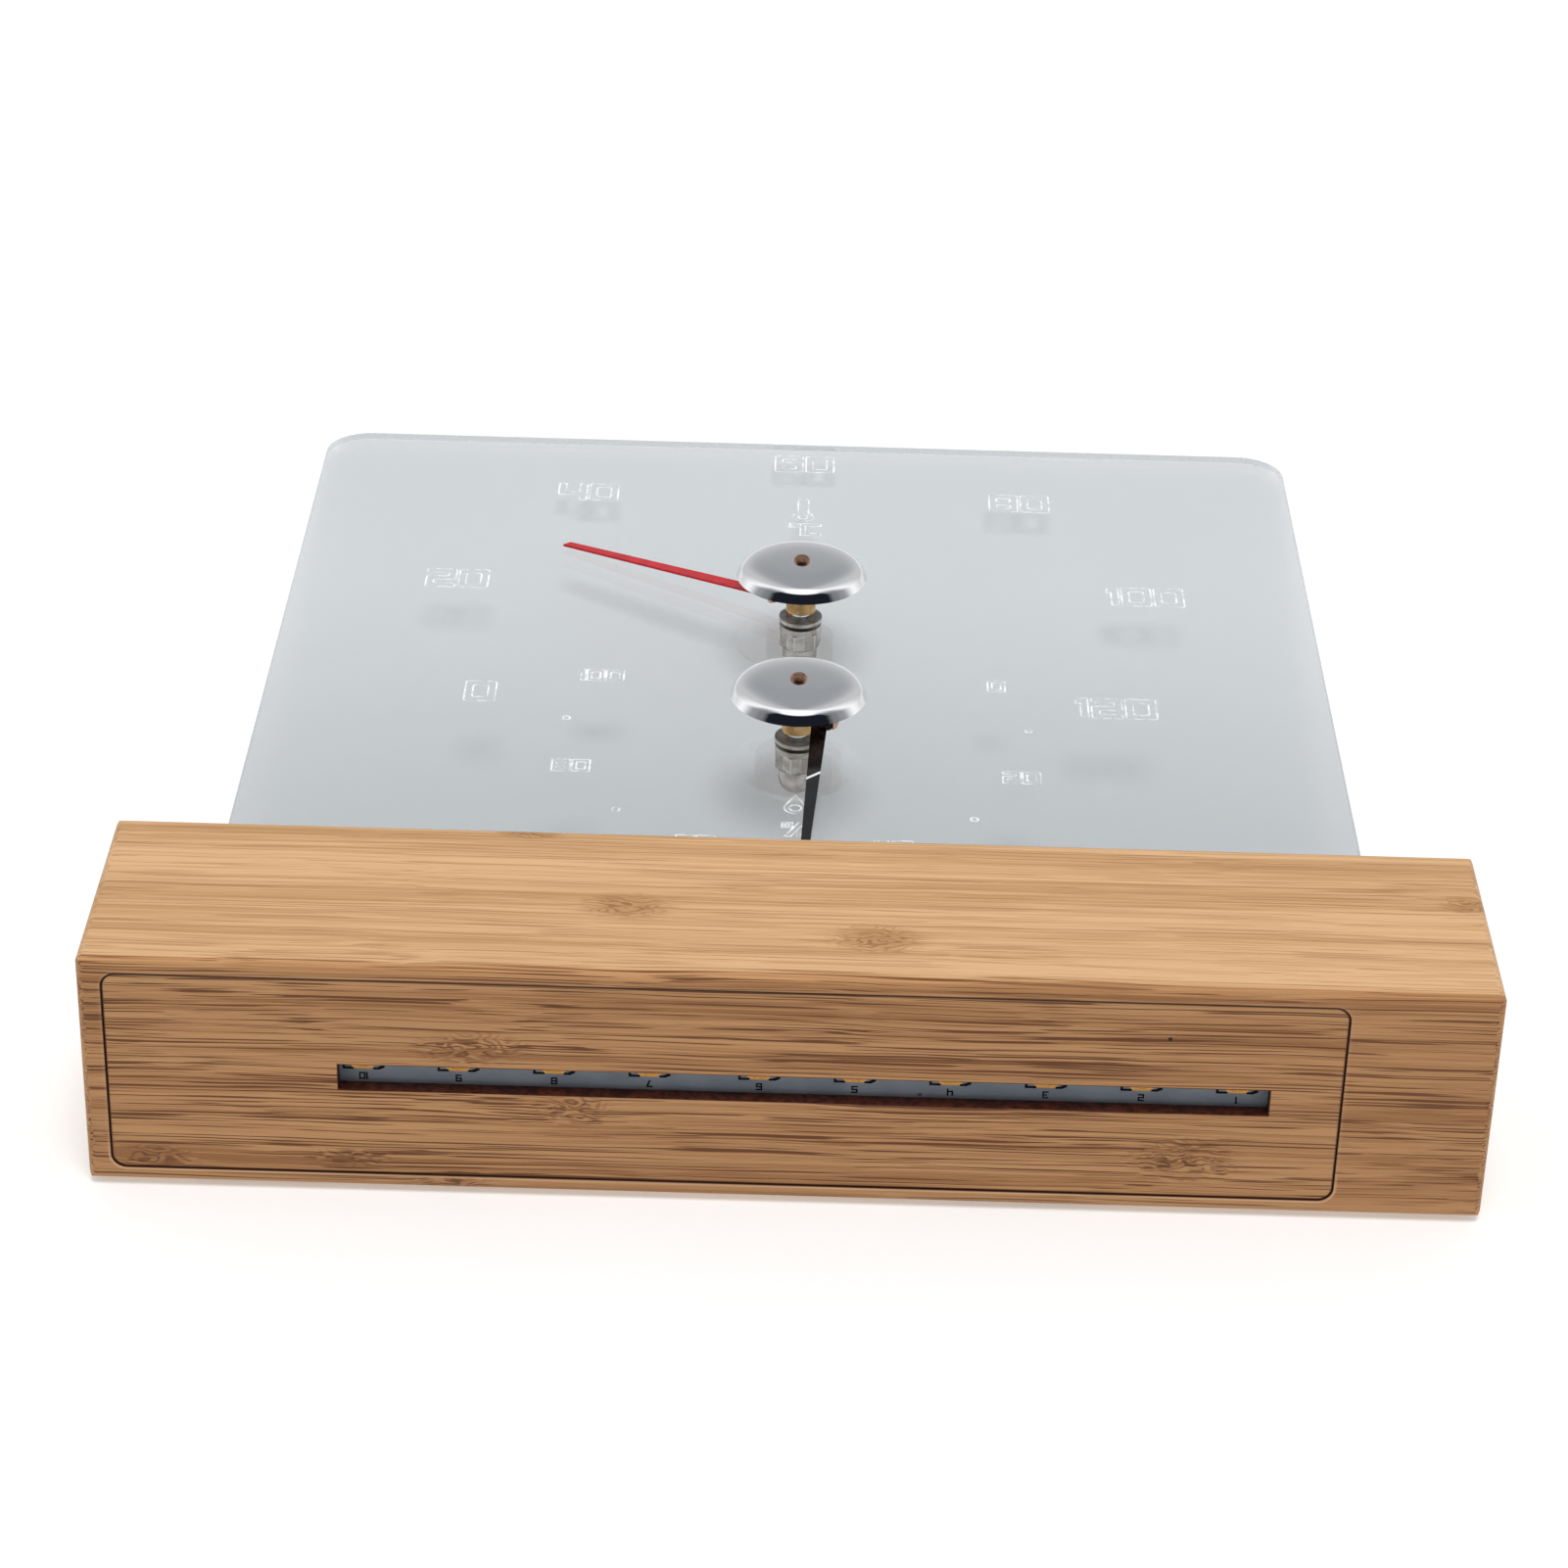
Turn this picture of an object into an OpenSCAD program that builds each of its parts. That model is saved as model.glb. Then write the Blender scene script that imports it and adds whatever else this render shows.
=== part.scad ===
// Sauna thermometer and hygrometer.
// A hollow bamboo bar carries an upright clear plate, and the plate carries two open movements:
// a bimetal thermometer above and a strip hygrometer below. Lamps in the bar shine down through
// a slot in its bottom cover.
// Frame: X to the right, Y to the back, Z up. The origin is the middle of the bar's footprint.

/* [Bamboo bar] */
// Width of the bar
bar_w = 250; // [240:1:290]
// Depth of the bar, front to back
bar_d = 47; // [44:0.5:60]
// Height of the bar
bar_h = 49; // [46:0.5:70]
// Radius sanded on the bar's edges
bar_edge_r = 1.8; // [0.5:0.1:2.5]
// Depth of the groove that holds the plate
groove_depth = 12; // [8:0.5:14]
// Wood left between the groove and the wiring hollow
groove_floor = 6; // [3:0.5:8]
// Wood left in front of and behind the wiring hollow
bar_wall = 9.5; // [9:0.5:11]

/* [Bottom cover] */
// Wood left round the cover at the bar's left end
cover_left_margin = 4.6; // [4:0.1:8]
// Wood left round the cover at the bar's right end
cover_right_margin = 27.2; // [20:0.2:30]
// Wood left in front of and behind the cover
cover_side_margin = 3.3; // [2.5:0.1:4]
// Thickness of the cover
cover_t = 2.8; // [2:0.1:3.5]
// Corner radius of the cover
cover_corner_r = 2.5; // [1:0.1:4]
// How far the cover lies inside the bar's bottom face
cover_inset = 0.2; // [0.1:0.05:0.5]
// Gap round the cover
cover_gap = 0.2; // [0.1:0.05:0.5]
// Distance from the bar's left end to the lamp slot
slot_left_margin = 45.4; // [43:0.1:48]
// Distance from the bar's right end to the lamp slot
slot_right_margin = 39.8; // [38:0.1:48]
// Width of the lamp slot
slot_w = 5.3; // [4.6:0.1:8]

/* [Lamp board] */
// Width of the lamp board
board_d = 20; // [14:0.5:24]
// Thickness of the lamp board
board_t = 1.6; // [1:0.1:2]
// Number of lamps
lamp_count = 10; // [2:1:10]
// Distance from the slot's ends to the middles of the outer lamps
lamp_inset = 4.7; // [3.8:0.1:8]
// Extra distance in the lamp row, where the board's two rows of copper meet
lamp_wide_step = 2.5; // [0:0.1:6]
// Width of one lamp's body
lamp_w = 4.6; // [3:0.1:6]
// Height of one lamp
lamp_h = 0.8; // [0.6:0.1:2]
// Room between the lamps and the cover
lamp_room = 0.9; // [0.3:0.1:1.2]
// Radius of the hole for the supply cable
inlet_r = 3; // [2.2:0.1:4]

/* [Plate] */
// Width of the clear plate
plate_w = 220; // [200:1:230]
// Height of the plate above the bar
plate_rise = 217; // [210:1:260]
// Thickness of the plate
plate_t = 4; // [3:0.5:6]
// Radius of the plate's two upper corners
plate_corner_r = 10; // [2:0.5:20]
// Play of the plate in its groove, on each side
plate_play = 0.05; // [0.03:0.01:0.2]
// Height of the thermometer's axis above the bar
thermo_rise = 133.5; // [126:0.5:142]
// Height of the hygrometer's axis above the bar
hygro_rise = 80; // [64:0.5:84]

/* [Movements] */
// Radius of the polished domes
dome_r = 13.65; // [12.8:0.05:15]
// Height of a dome from its rim to its top
dome_h = 3.5; // [3:0.1:5]
// Thickness of the dome's sheet
dome_t = 0.5; // [0.3:0.05:0.6]
// Height of the dome's rim above the plate
rim_rise = 8; // [7.6:0.1:11]
// Radius of the brass collar
collar_r = 3.2; // [2.9:0.1:4.2]
// Height of the brass collar
collar_h = 3; // [2.5:0.1:3.4]
// Radius of the shaft
shaft_r = 1.5; // [1.2:0.05:1.7]
// Radius of the threaded stud
stud_r = 2.45; // [2.2:0.05:2.6]
// Distance from one thread to the next
thread_pitch = 0.8; // [0.5:0.1:1]
// Running clearance of the pointer's bush on the shaft
run_play = 0.04; // [0.02:0.01:0.1]
// Clearance of pieces that are pressed or screwed together
fit_play = 0.02; // [0.01:0.01:0.04]
// End play between pieces that turn and pieces that don't
end_play = 0.1; // [0.06:0.01:0.2]

/* [Pointers] */
// Length of the thermometer's pointer from its axis
thermo_pointer_len = 58.5; // [48:0.5:62]
// Length of the hygrometer's pointer from its axis
hygro_pointer_len = 47.5; // [40:0.5:49]
// How far the thermometer's pointer lies beside its axis
thermo_pointer_aside = 2.7; // [2.2:0.1:4.6]
// How far the hygrometer's pointer lies beside its axis
hygro_pointer_aside = 4.6; // [2.2:0.1:4.8]
// Direction of the thermometer's pointer at rest, clockwise from straight up
thermo_rest = -60.4; // [-70:0.1:-50]
// Direction of the hygrometer's pointer at rest, clockwise from straight up
hygro_rest = 183; // [172:0.5:190]
// Width of a pointer at its hub
pointer_w = 3.4; // [2.4:0.1:4]
// Width of a pointer at its tip
pointer_tip_w = 1.8; // [1:0.1:2.2]
// Thickness of a pointer
pointer_t = 0.5; // [0.3:0.05:0.6]
// Height of a pointer's tip above the plate
tip_rise = 0.7; // [0.5:0.05:1.5]
// Radius of a pointer's hub
hub_r = 4.5; // [4:0.1:5]

/* [Coils] */
// Turns of the thermometer's coil
thermo_turns = 4; // [3:1:6]
// Turns of the hygrometer's coil
hygro_turns = 5; // [3:1:6]
// Outer radius of the thermometer's coil
thermo_coil_r = 7.8; // [7.2:0.1:8.6]
// Outer radius of the hygrometer's coil
hygro_coil_r = 9.4; // [8.6:0.1:10]
// Thickness of the coil's strip
strip_t = 0.3; // [0.2:0.05:0.35]
// Width of the coil's strip
strip_w = 4; // [3:0.1:4.4]
// Angle from the pointer back to the coil's outer end
tail_angle = 53; // [45:1:70]

/* [Nuts and washers] */
// Radius of the plain washers
washer_r = 4.6; // [4.2:0.1:6]
// Thickness of the plain washer
washer_t = 0.8; // [0.5:0.1:1.5]
// Thickness of the rubber seal
seal_t = 0.9; // [0.5:0.1:2]
// Thickness of the lock washer
lock_t = 1.1; // [0.6:0.1:1.6]
// Distance across the flats of the cap nuts
nut_flats = 8; // [7:0.1:9]
// Height of a cap nut's six sides
nut_h = 4; // [3:0.1:5]
// Radius of a cap nut's round end
nut_cap_r = 3.65; // [3.2:0.05:3.95]
// Length of a cap nut's round end
nut_cap_len = 6; // [5:0.1:7]

/* [Fixings] */
// Distance between the two hangers
hanger_pitch = 140; // [60:1:150]
// Height of the hangers' round holes above the bar's bottom
hanger_z = 27; // [24:0.5:32]
// Width of a hanger plate
hanger_w = 16; // [14:0.5:18]
// Length of a hanger plate
hanger_len = 34; // [32:0.5:36]
// Thickness of a hanger plate
hanger_t = 1.5; // [1:0.1:2]
// Radius of a hanger's round hole
hanger_hole_r = 4.5; // [4:0.1:5]
// Radius of the screws that hold the plate
plate_screw_r = 2; // [1.5:0.1:2.5]
// Distance between the screws that hold the plate
plate_screw_pitch = 190; // [172:1:190]
// Radius of the small screws
small_screw_r = 1.25; // [1:0.05:1.5]
// Length of the small screws
small_screw_len = 8; // [6:0.5:8]

/* [Hidden] */
$fn = 64;
// Overrun of a cut past the face that it opens
past = 1;

// Bar: levels from the bottom face up
rebate_z = cover_inset + cover_t;
lamp_z = rebate_z + lamp_room;
board_z = lamp_z + lamp_h;
ledge_z = board_z + board_t;
groove_z = bar_h - groove_depth;
hollow_top = groove_z - groove_floor;
hollow_d = bar_d - 2 * bar_wall;

// Cover: it takes the bar's length and depth, less the margins
cover_x = [cover_left_margin - bar_w / 2, bar_w / 2 - cover_right_margin];
cover_d = bar_d - 2 * cover_side_margin;
slot_x = [slot_left_margin - bar_w / 2, bar_w / 2 - slot_right_margin];

// The board is screwed to two ledges of wood beside the wiring hollow
ledge_half = 4;
board_screw_x = [slot_x[0] - ledge_half, slot_x[1] + ledge_half];

// Wiring bay at the left: the supply cable comes in there and ends in the board's terminal
bay_margin = 11;
bay_left = bay_margin - bar_w / 2;
bay_right = board_screw_x[0] - ledge_half;

// Lamp board: it runs past both ends of the slot, and its left end reaches into the wiring bay.
// The lamps stand mostly in front of the slot's front edge, so that the eye doesn't look into
// them: they reach past it by lamp_reach. Their row stands a little left of the slot's middle.
board_past_slot = 7.5;
board_in_bay = 11.5;
board_right = slot_x[1] + board_past_slot;
board_left = bay_right - board_in_bay;
board_play = 0.3;
lamp_reach = 3.1;
lamp_row_shift = -0.65;
lamp_y = lamp_reach - (slot_w + lamp_w) / 2;
lamps_before_step = floor(lamp_count * 0.4);
lamp_pitch = (slot_x[1] - slot_x[0] - 2 * lamp_inset - lamp_wide_step) / (lamp_count - 1);
lamp_corner = 0.75;
lamp_window_rim = 0.3;
lamp_window_depth = 0.15;
chip = [3.2, 1.6, 0.6];
chip_inset = 2;
chip_place = 0.3;
terminal = [8, 10, 9];
terminal_inset = 1;
wire_hole_r = 1.2;
terminal_screw_r = 1.5;
inlet_x = bay_left + 8;
inlet_z = ledge_z + 13;
grommet_wall = 1.5;
grommet_flange = 1.6;
grommet_flange_t = 1.5;

// Plate: its front face is set so that the plate stands in the middle of the bar's depth
plate_front = -plate_t / 2;
plate_foot = groove_z + plate_play;
plate_screw_z = bar_h - groove_depth / 2;
plate_screw_len = bar_d - 7;

// Screws: a countersunk head's radius is so many times the screw's radius
screw_head = 1.9;
pan_head = 1.8;
pan_head_h = 0.9;
hole_past_screw = 0.3;

// Movement: heights above the plate's front face, and depths behind it
bush_wall = 1;
bush_r = shaft_r + bush_wall;
bush_foot = collar_h + end_play;
bush_h = 2.2;
bush_top = bush_foot + bush_h;
bush_rim = 0.25;
hub_foot = bush_foot + bush_rim;
hub_t = 0.6;
dome_seat = rim_rise + dome_h - dome_t;
arbor_r = shaft_r + 0.8;
arbor_foot = bush_top + end_play;
arbor_top = dome_seat - fit_play;
rivet_r = shaft_r + 0.15;
rivet_h = 1;
rivet_edge = 0.4;
shaft_neck = 0.3;
shaft_foot = -6;
stud_top = 1.6;
nut_foot = plate_t + washer_t + seal_t + lock_t;
stud_in_nut = 6.5;
stud_foot = -nut_foot - stud_in_nut;
thread_depth = 0.35;
hole_play = 0.25;
seal_inset = 0.3;
lock_inset = 0.1;
nut_chamfer = 0.35;
nut_turn = 15;

// Coils: the strip hangs under the dome, and its outer end is soldered to the pointer's tab
under_dome = 1;
strip_foot = dome_seat - under_dome - strip_w;
arbor_gap = 0.05;
solder_gap = 0.14;
steps_per_turn = 24;
tail_steps = 6;
tail_span = 26;
tail_w = 1.2;
tab = [-1.1, 0.7];
tab_t = 0.4;
tab_h = 2.2;
dome_steps = 14;

// Hangers: the pocket behind each plate takes the wall screw's head all the way up its slot
hanger_corner_r = 4;
hanger_screw_side = 13.4;
hanger_slot_rise = 6;
hanger_slot_r = 2.3;
hanger_pocket_d = 6;
hanger_pocket_r = hanger_hole_r + 0.5;

// A rectangle with round corners, made of squares and circles so that its corners stay round
module rounded_rect(w, h, r) {
  square([w - 2 * r, h], center = true);
  square([w, h - 2 * r], center = true);
  for (sx = [-1, 1], sy = [-1, 1])
    translate([sx * (w / 2 - r), sy * (h / 2 - r)]) circle(r);
}

// A block that stands on z = 0, with all its edges rounded
module rounded_block(w, d, h, r) {
  intersection() {
    linear_extrude(h) rounded_rect(w, d, r);
    translate([0, 0, h / 2]) rotate([90, 0, 90])
      linear_extrude(w, center = true) rounded_rect(d, h, r);
    translate([0, 0, h / 2]) rotate([90, 0, 0])
      linear_extrude(d, center = true) rounded_rect(w, h, r);
  }
}

// A box between two X values, centred on a Y value, from one height to another
module span_box(x0, x1, d, z0, z1, y = 0) {
  translate([x0, y - d / 2, z0]) cube([x1 - x0, d, z1 - z0]);
}

// A ring that stands on z = 0
module ring(r, bore, h) {
  difference() {
    cylinder(r = r, h = h);
    translate([0, 0, -past]) cylinder(r = bore, h = h + 2 * past);
  }
}

// A countersunk screw that points along -Z, with its head's flat face on z = 0
module flat_screw(r, len) {
  head = screw_head * r;
  difference() {
    rotate_extrude()
      polygon([[0, 0], [head, 0], [r, r - head], [r, r * 2 - len], [0, -len]]);
    for (a = [0, 90])
      rotate([0, 0, a]) translate([-head * 0.6, -r * 0.18, -r * 0.45])
        cube([head * 1.2, r * 0.36, r]);
  }
}

// The hole that a countersunk screw leaves
module flat_screw_hole(r, len) {
  head = screw_head * r;
  rotate_extrude()
    polygon([
      [0, past], [head + fit_play, past], [head + fit_play, 0],
      [r + fit_play, r - head], [r + fit_play, -len - fit_play], [0, -len - fit_play]
    ]);
}

// Places children at a movement: X stays, Y becomes up and Z comes out of the plate's front
module at_axis(rise) {
  translate([0, plate_front, bar_h + rise]) rotate([90, 0, 0]) children();
}

// Places children on the back of the bar, with Z pointing out of it
module at_back(x, z) {
  translate([x, bar_d / 2, z]) rotate([-90, 0, 0]) children();
}

module at_plate_screws() {
  for (s = [-1, 1]) at_back(s * plate_screw_pitch / 2, plate_screw_z) children();
}

module at_hangers() {
  for (s = [-1, 1]) at_back(s * hanger_pitch / 2, hanger_z) children();
}

module at_hanger_screws() {
  at_hangers() for (s = [-1, 1]) translate([0, s * hanger_screw_side, -fit_play]) children();
}

module at_board_screws() {
  for (x = board_screw_x) translate([x, lamp_y, board_z]) children();
}

module hanger_outline(play) {
  rounded_rect(hanger_w + 2 * play, hanger_len + 2 * play, hanger_corner_r);
}

// A slot that runs up the wall from the middle of a hanger's round hole
module hanger_slot(r) {
  translate([0, -hanger_slot_rise / 2]) square([2 * r, hanger_slot_rise], center = true);
  translate([0, -hanger_slot_rise]) circle(r);
}

module bamboo_bar() {
  color("burlywood") difference() {
    rounded_block(bar_w, bar_d, bar_h, bar_edge_r);
    // Rebate for the cover
    translate([0, 0, -past]) linear_extrude(rebate_z + past) cover_outline(cover_gap);
    // Pocket for the lamp board
    span_box(bay_left, board_right + board_play, board_d + 2 * board_play, 0, ledge_z, lamp_y);
    // Wiring hollow over the lamps, and the bay where the supply comes in
    span_box(slot_x[0], slot_x[1], hollow_d, 0, hollow_top);
    span_box(bay_left, bay_right, hollow_d, 0, hollow_top);
    // Groove for the plate
    span_box(-plate_w / 2 - plate_play, plate_w / 2 + plate_play, plate_t + 2 * plate_play,
      groove_z, bar_h + past);
    // Hole for the supply cable's grommet
    at_back(inlet_x, inlet_z) {
      translate([0, 0, -bar_wall - past])
        cylinder(r = inlet_r + grommet_wall + fit_play, h = bar_wall + 2 * past);
      translate([0, 0, -grommet_flange_t - fit_play])
        cylinder(r = inlet_r + grommet_wall + grommet_flange + fit_play,
          h = grommet_flange_t + past);
    }
    at_plate_screws() flat_screw_hole(plate_screw_r, plate_screw_len);
    at_board_screws() translate([0, 0, board_t])
      cylinder(r = small_screw_r + fit_play, h = small_screw_len);
    // Recess for each hanger plate, and the pocket behind it
    at_hangers() {
      translate([0, 0, -hanger_t - fit_play]) linear_extrude(hanger_t + past)
        hanger_outline(fit_play);
      translate([0, 0, -hanger_t - hanger_pocket_d]) linear_extrude(hanger_t + hanger_pocket_d) {
        circle(hanger_pocket_r);
        hanger_slot(hanger_pocket_r);
      }
    }
    at_hanger_screws() translate([0, 0, -small_screw_len - hole_past_screw])
      cylinder(r = small_screw_r + fit_play, h = small_screw_len);
  }
}

module cover_outline(gap) {
  translate([(cover_x[0] + cover_x[1]) / 2, 0])
    rounded_rect(cover_x[1] - cover_x[0] + 2 * gap, cover_d + 2 * gap, cover_corner_r + gap);
}

module bottom_cover() {
  color("tan") translate([0, 0, cover_inset]) difference() {
    linear_extrude(cover_t) cover_outline(0);
    span_box(slot_x[0], slot_x[1], slot_w, -past, cover_t + past);
  }
}

module led_board() {
  color("whitesmoke") difference() {
    span_box(board_left, board_right, board_d, board_z, ledge_z, lamp_y);
    at_board_screws() translate([0, 0, -past])
      cylinder(r = small_screw_r + fit_play, h = board_t + 2 * past);
  }
}

// Middle of lamp number i, counted from the left
function lamp_x(i) = slot_x[0] + lamp_inset + lamp_row_shift + i * lamp_pitch
  + (i < lamps_before_step ? 0 : lamp_wide_step);

// A lamp's eight-sided body with its shallow window
module lamp_body() {
  c = lamp_w / 2;
  k = c - lamp_corner;
  difference() {
    linear_extrude(lamp_h)
      polygon([[-c, -k], [-k, -c], [k, -c], [c, -k], [c, k], [k, c], [-k, c], [-c, k]]);
    translate([0, 0, -past]) cylinder(r = c - lamp_window_rim, h = past + lamp_window_depth);
  }
}

module leds() {
  color("orange") for (i = [0:lamp_count - 1])
    translate([lamp_x(i), lamp_y, lamp_z]) lamp_body();
}

module board_resistors() {
  color("black") for (x = slot_x)
    translate([x * chip_place, lamp_y - board_d / 2 + chip_inset, board_z])
      translate([-chip.x / 2, 0, -chip.z]) cube(chip);
}

// Two wires enter the terminal from its left side, and two screws clamp them from above
module wire_terminal() {
  left = board_left + terminal_inset;
  wire_z = terminal.z * 0.35;
  color("white") difference() {
    translate([left, lamp_y - terminal.y / 2, ledge_z]) cube(terminal);
    for (s = [-1, 1]) translate([left, lamp_y + s * terminal.y / 4, ledge_z + wire_z]) {
      translate([-past, 0, 0]) rotate([0, 90, 0])
        cylinder(r = wire_hole_r, h = terminal.x * 0.7 + past);
      translate([terminal.x * 0.4, 0, 0]) cylinder(r = terminal_screw_r, h = terminal.z);
    }
  }
}

module board_screws() {
  color("silver") at_board_screws()
    pan_screw(small_screw_r, board_t + small_screw_len - hole_past_screw);
}

// A low round-headed screw that points along Z, with its head under z = 0
module pan_screw(r, len) {
  head = pan_head * r;
  edge = pan_head_h / 2;
  difference() {
    rotate_extrude()
      polygon([[0, -pan_head_h], [head - edge, -pan_head_h], [head, -edge], [head, 0], [r, 0],
        [r, len - r], [0, len]]);
    for (a = [0, 90])
      rotate([0, 0, a]) translate([-r, -r * 0.2, -past - edge]) cube([2 * r, r * 0.4, past]);
  }
}

module cable_grommet() {
  color("dimgray") at_back(inlet_x, inlet_z) difference() {
    union() {
      translate([0, 0, -bar_wall]) cylinder(r = inlet_r + grommet_wall, h = bar_wall);
      translate([0, 0, -grommet_flange_t])
        cylinder(r = inlet_r + grommet_wall + grommet_flange, h = grommet_flange_t);
    }
    translate([0, 0, -bar_wall - past]) cylinder(r = inlet_r, h = bar_wall + 2 * past);
  }
}

module acrylic_plate() {
  top = bar_h + plate_rise;
  color("lightcyan", 0.4) difference() {
    translate([0, plate_t / 2, 0]) rotate([90, 0, 0]) linear_extrude(plate_t) {
      translate([-plate_w / 2, plate_foot]) square([plate_w, top - plate_foot - plate_corner_r]);
      translate([-plate_w / 2 + plate_corner_r, top - 2 * plate_corner_r])
        square([plate_w - 2 * plate_corner_r, 2 * plate_corner_r]);
      for (s = [-1, 1])
        translate([s * (plate_w / 2 - plate_corner_r), top - plate_corner_r])
          circle(plate_corner_r);
    }
    for (rise = [thermo_rise, hygro_rise]) at_axis(rise)
      translate([0, 0, -plate_t - past]) cylinder(r = stud_r + hole_play, h = plate_t + 2 * past);
    at_plate_screws() translate([0, 0, -bar_d])
      cylinder(r = plate_screw_r + fit_play, h = bar_d);
  }
}

module plate_screws() {
  color("silver") at_plate_screws() flat_screw(plate_screw_r, plate_screw_len);
}

module hanger_plates() {
  color("silver") at_hangers() difference() {
    translate([0, 0, -hanger_t]) linear_extrude(hanger_t) difference() {
      hanger_outline(0);
      circle(hanger_hole_r);
      hanger_slot(hanger_slot_r);
    }
    for (s = [-1, 1]) translate([0, s * hanger_screw_side, 0])
      flat_screw_hole(small_screw_r, small_screw_len);
  }
}

module hanger_screws() {
  color("silver") at_hanger_screws() flat_screw(small_screw_r, small_screw_len);
}

// The threaded stud that the cap nut pulls against the plate
module stud() {
  rings = floor((stud_top - stud_foot) / thread_pitch);
  root = stud_r - thread_depth;
  difference() {
    rotate_extrude() polygon(concat(
      [[0, stud_top], [root, stud_top]],
      [for (i = [0:rings - 1]) each [
        [root, stud_top - i * thread_pitch - thread_pitch * 0.1],
        [stud_r, stud_top - i * thread_pitch - thread_pitch * 0.45],
        [stud_r, stud_top - i * thread_pitch - thread_pitch * 0.55],
        [root, stud_top - i * thread_pitch - thread_pitch * 0.9]
      ]],
      [[root, stud_foot], [0, stud_foot]]
    ));
    translate([0, 0, shaft_foot - fit_play])
      cylinder(r = shaft_r + fit_play, h = stud_top - shaft_foot + past);
  }
}

// The collar screws on the stud and lets the shaft through
module collar() {
  difference() {
    cylinder(r = collar_r, h = collar_h);
    translate([0, 0, -past]) cylinder(r = stud_r + fit_play, h = stud_top + fit_play + past);
    translate([0, 0, -past]) cylinder(r = shaft_r + fit_play, h = collar_h + 2 * past);
  }
}

// The shaft's front end is turned down to a neck and riveted over the dome
module shaft() {
  seat = dome_seat + dome_t;
  translate([0, 0, shaft_foot]) cylinder(r = shaft_r, h = arbor_top - shaft_foot);
  cylinder(r = shaft_r - shaft_neck, h = seat);
  rotate_extrude() polygon([
    [0, seat], [rivet_r, seat], [rivet_r, seat + rivet_h - rivet_edge],
    [rivet_r - rivet_edge, seat + rivet_h], [0, seat + rivet_h]
  ]);
}

// The bush turns on the shaft and carries the pointer's hub
module bush() {
  translate([0, 0, bush_foot]) ring(bush_r, shaft_r + run_play, bush_top - bush_foot);
}

// The arbor is pressed on the shaft: the coil's inner end is soldered to it, and the dome sits on it
module arbor() {
  translate([0, 0, arbor_foot]) ring(arbor_r, shaft_r + fit_play, arbor_top - arbor_foot);
}

// A point beside the coil's outer end, in the pointer's own frame, which points along Y
function tail_point(along, r) = [
  along * cos(tail_angle) - r * sin(tail_angle), along * sin(tail_angle) + r * cos(tail_angle)
];

// A pointer with its hub, drooping towards its tip, and the tab that the coil's end is soldered to
module pointer(len, aside, coil_r) {
  droop = atan((hub_foot - tip_rise) / len);
  tab_r = coil_r - strip_t - solder_gap;
  difference() {
    union() {
      translate([0, 0, hub_foot]) cylinder(r = hub_r, h = hub_t);
      translate([0, 0, hub_foot]) rotate([-droop, 0, 0]) linear_extrude(pointer_t)
        polygon([
          [-aside - pointer_w / 2, 0], [-aside + pointer_w / 2, 0],
          [-aside + pointer_tip_w / 2, len - 0.8], [-aside - pointer_tip_w / 2, len]
        ]);
      translate([0, 0, hub_foot]) linear_extrude(pointer_t) polygon([
        tail_point(tab[0], tab_r), tail_point(tab[1], tab_r),
        [-aside, tail_point(tab[1], tab_r).y], [-aside, 0]
      ]);
      rotate([0, 0, tail_angle]) translate([tab[0], tab_r - tab_t, hub_foot])
        cube([tab[1] - tab[0], tab_t, tab_h]);
    }
    translate([0, 0, -past]) cylinder(r = bush_r + fit_play, h = hub_foot + hub_t + 2 * past);
  }
}

// Middle line of a coil: it winds in from its outer end, anticlockwise seen from the front
function coil_mid(turns, outer, a) =
  let (inner = arbor_r + arbor_gap + strip_t / 2, out = outer - strip_t / 2)
  out - (out - inner) * a / (360 * turns);
function coil_point(turns, outer, a, side) =
  let (r = coil_mid(turns, outer, a) + side * strip_t / 2, b = 90 + tail_angle + a)
  [r * cos(b), r * sin(b)];

// Least gap between one turn of a coil and the next, measured on its points
function coil_gap(turns, outer) = min([
  for (i = [0:steps_per_turn * (turns - 1)])
    let (a = i * 360 / steps_per_turn)
    norm(coil_point(turns, outer, a, -1) - coil_point(turns, outer, a + 360, 1))
]);

// A coil of strip, whose outer end reaches down to the pointer's tab
module coil(turns, outer) {
  last = steps_per_turn * turns;
  angle = [for (i = [0:last]) i * 360 / steps_per_turn];
  translate([0, 0, strip_foot]) linear_extrude(strip_w) polygon(concat(
    [for (a = angle) coil_point(turns, outer, a, 1)],
    [for (i = [last:-1:0]) coil_point(turns, outer, angle[i], -1)]
  ));
  tail = [for (i = [0:tail_steps]) i * tail_span / tail_steps];
  intersection() {
    translate([0, 0, hub_foot]) linear_extrude(strip_w) polygon(concat(
      [for (a = tail) coil_point(turns, outer, a, 1)],
      [for (i = [tail_steps:-1:0]) coil_point(turns, outer, tail[i], -1)]
    ));
    rotate([0, 0, 90 + tail_angle]) rotate([90, 0, 90]) linear_extrude(outer + past)
      polygon([
        [-past, hub_foot], [tail_w, hub_foot], [outer * sin(tail_span), strip_foot],
        [outer * sin(tail_span), strip_foot + past], [-past, strip_foot + past]
      ]);
  }
}
echo(thermo_coil_gap = coil_gap(thermo_turns, thermo_coil_r));
echo(hygro_coil_gap = coil_gap(hygro_turns, hygro_coil_r));

// Outline of a dome: nearly flat in the middle and rolled over at the rim
function dome_curve(r0, h0) = [
  for (i = [0:dome_steps])
    let (t = 90 * i / dome_steps)
    [r0 * pow(sin(t), 0.62), h0 * pow(cos(t), 0.9)]
];

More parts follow.
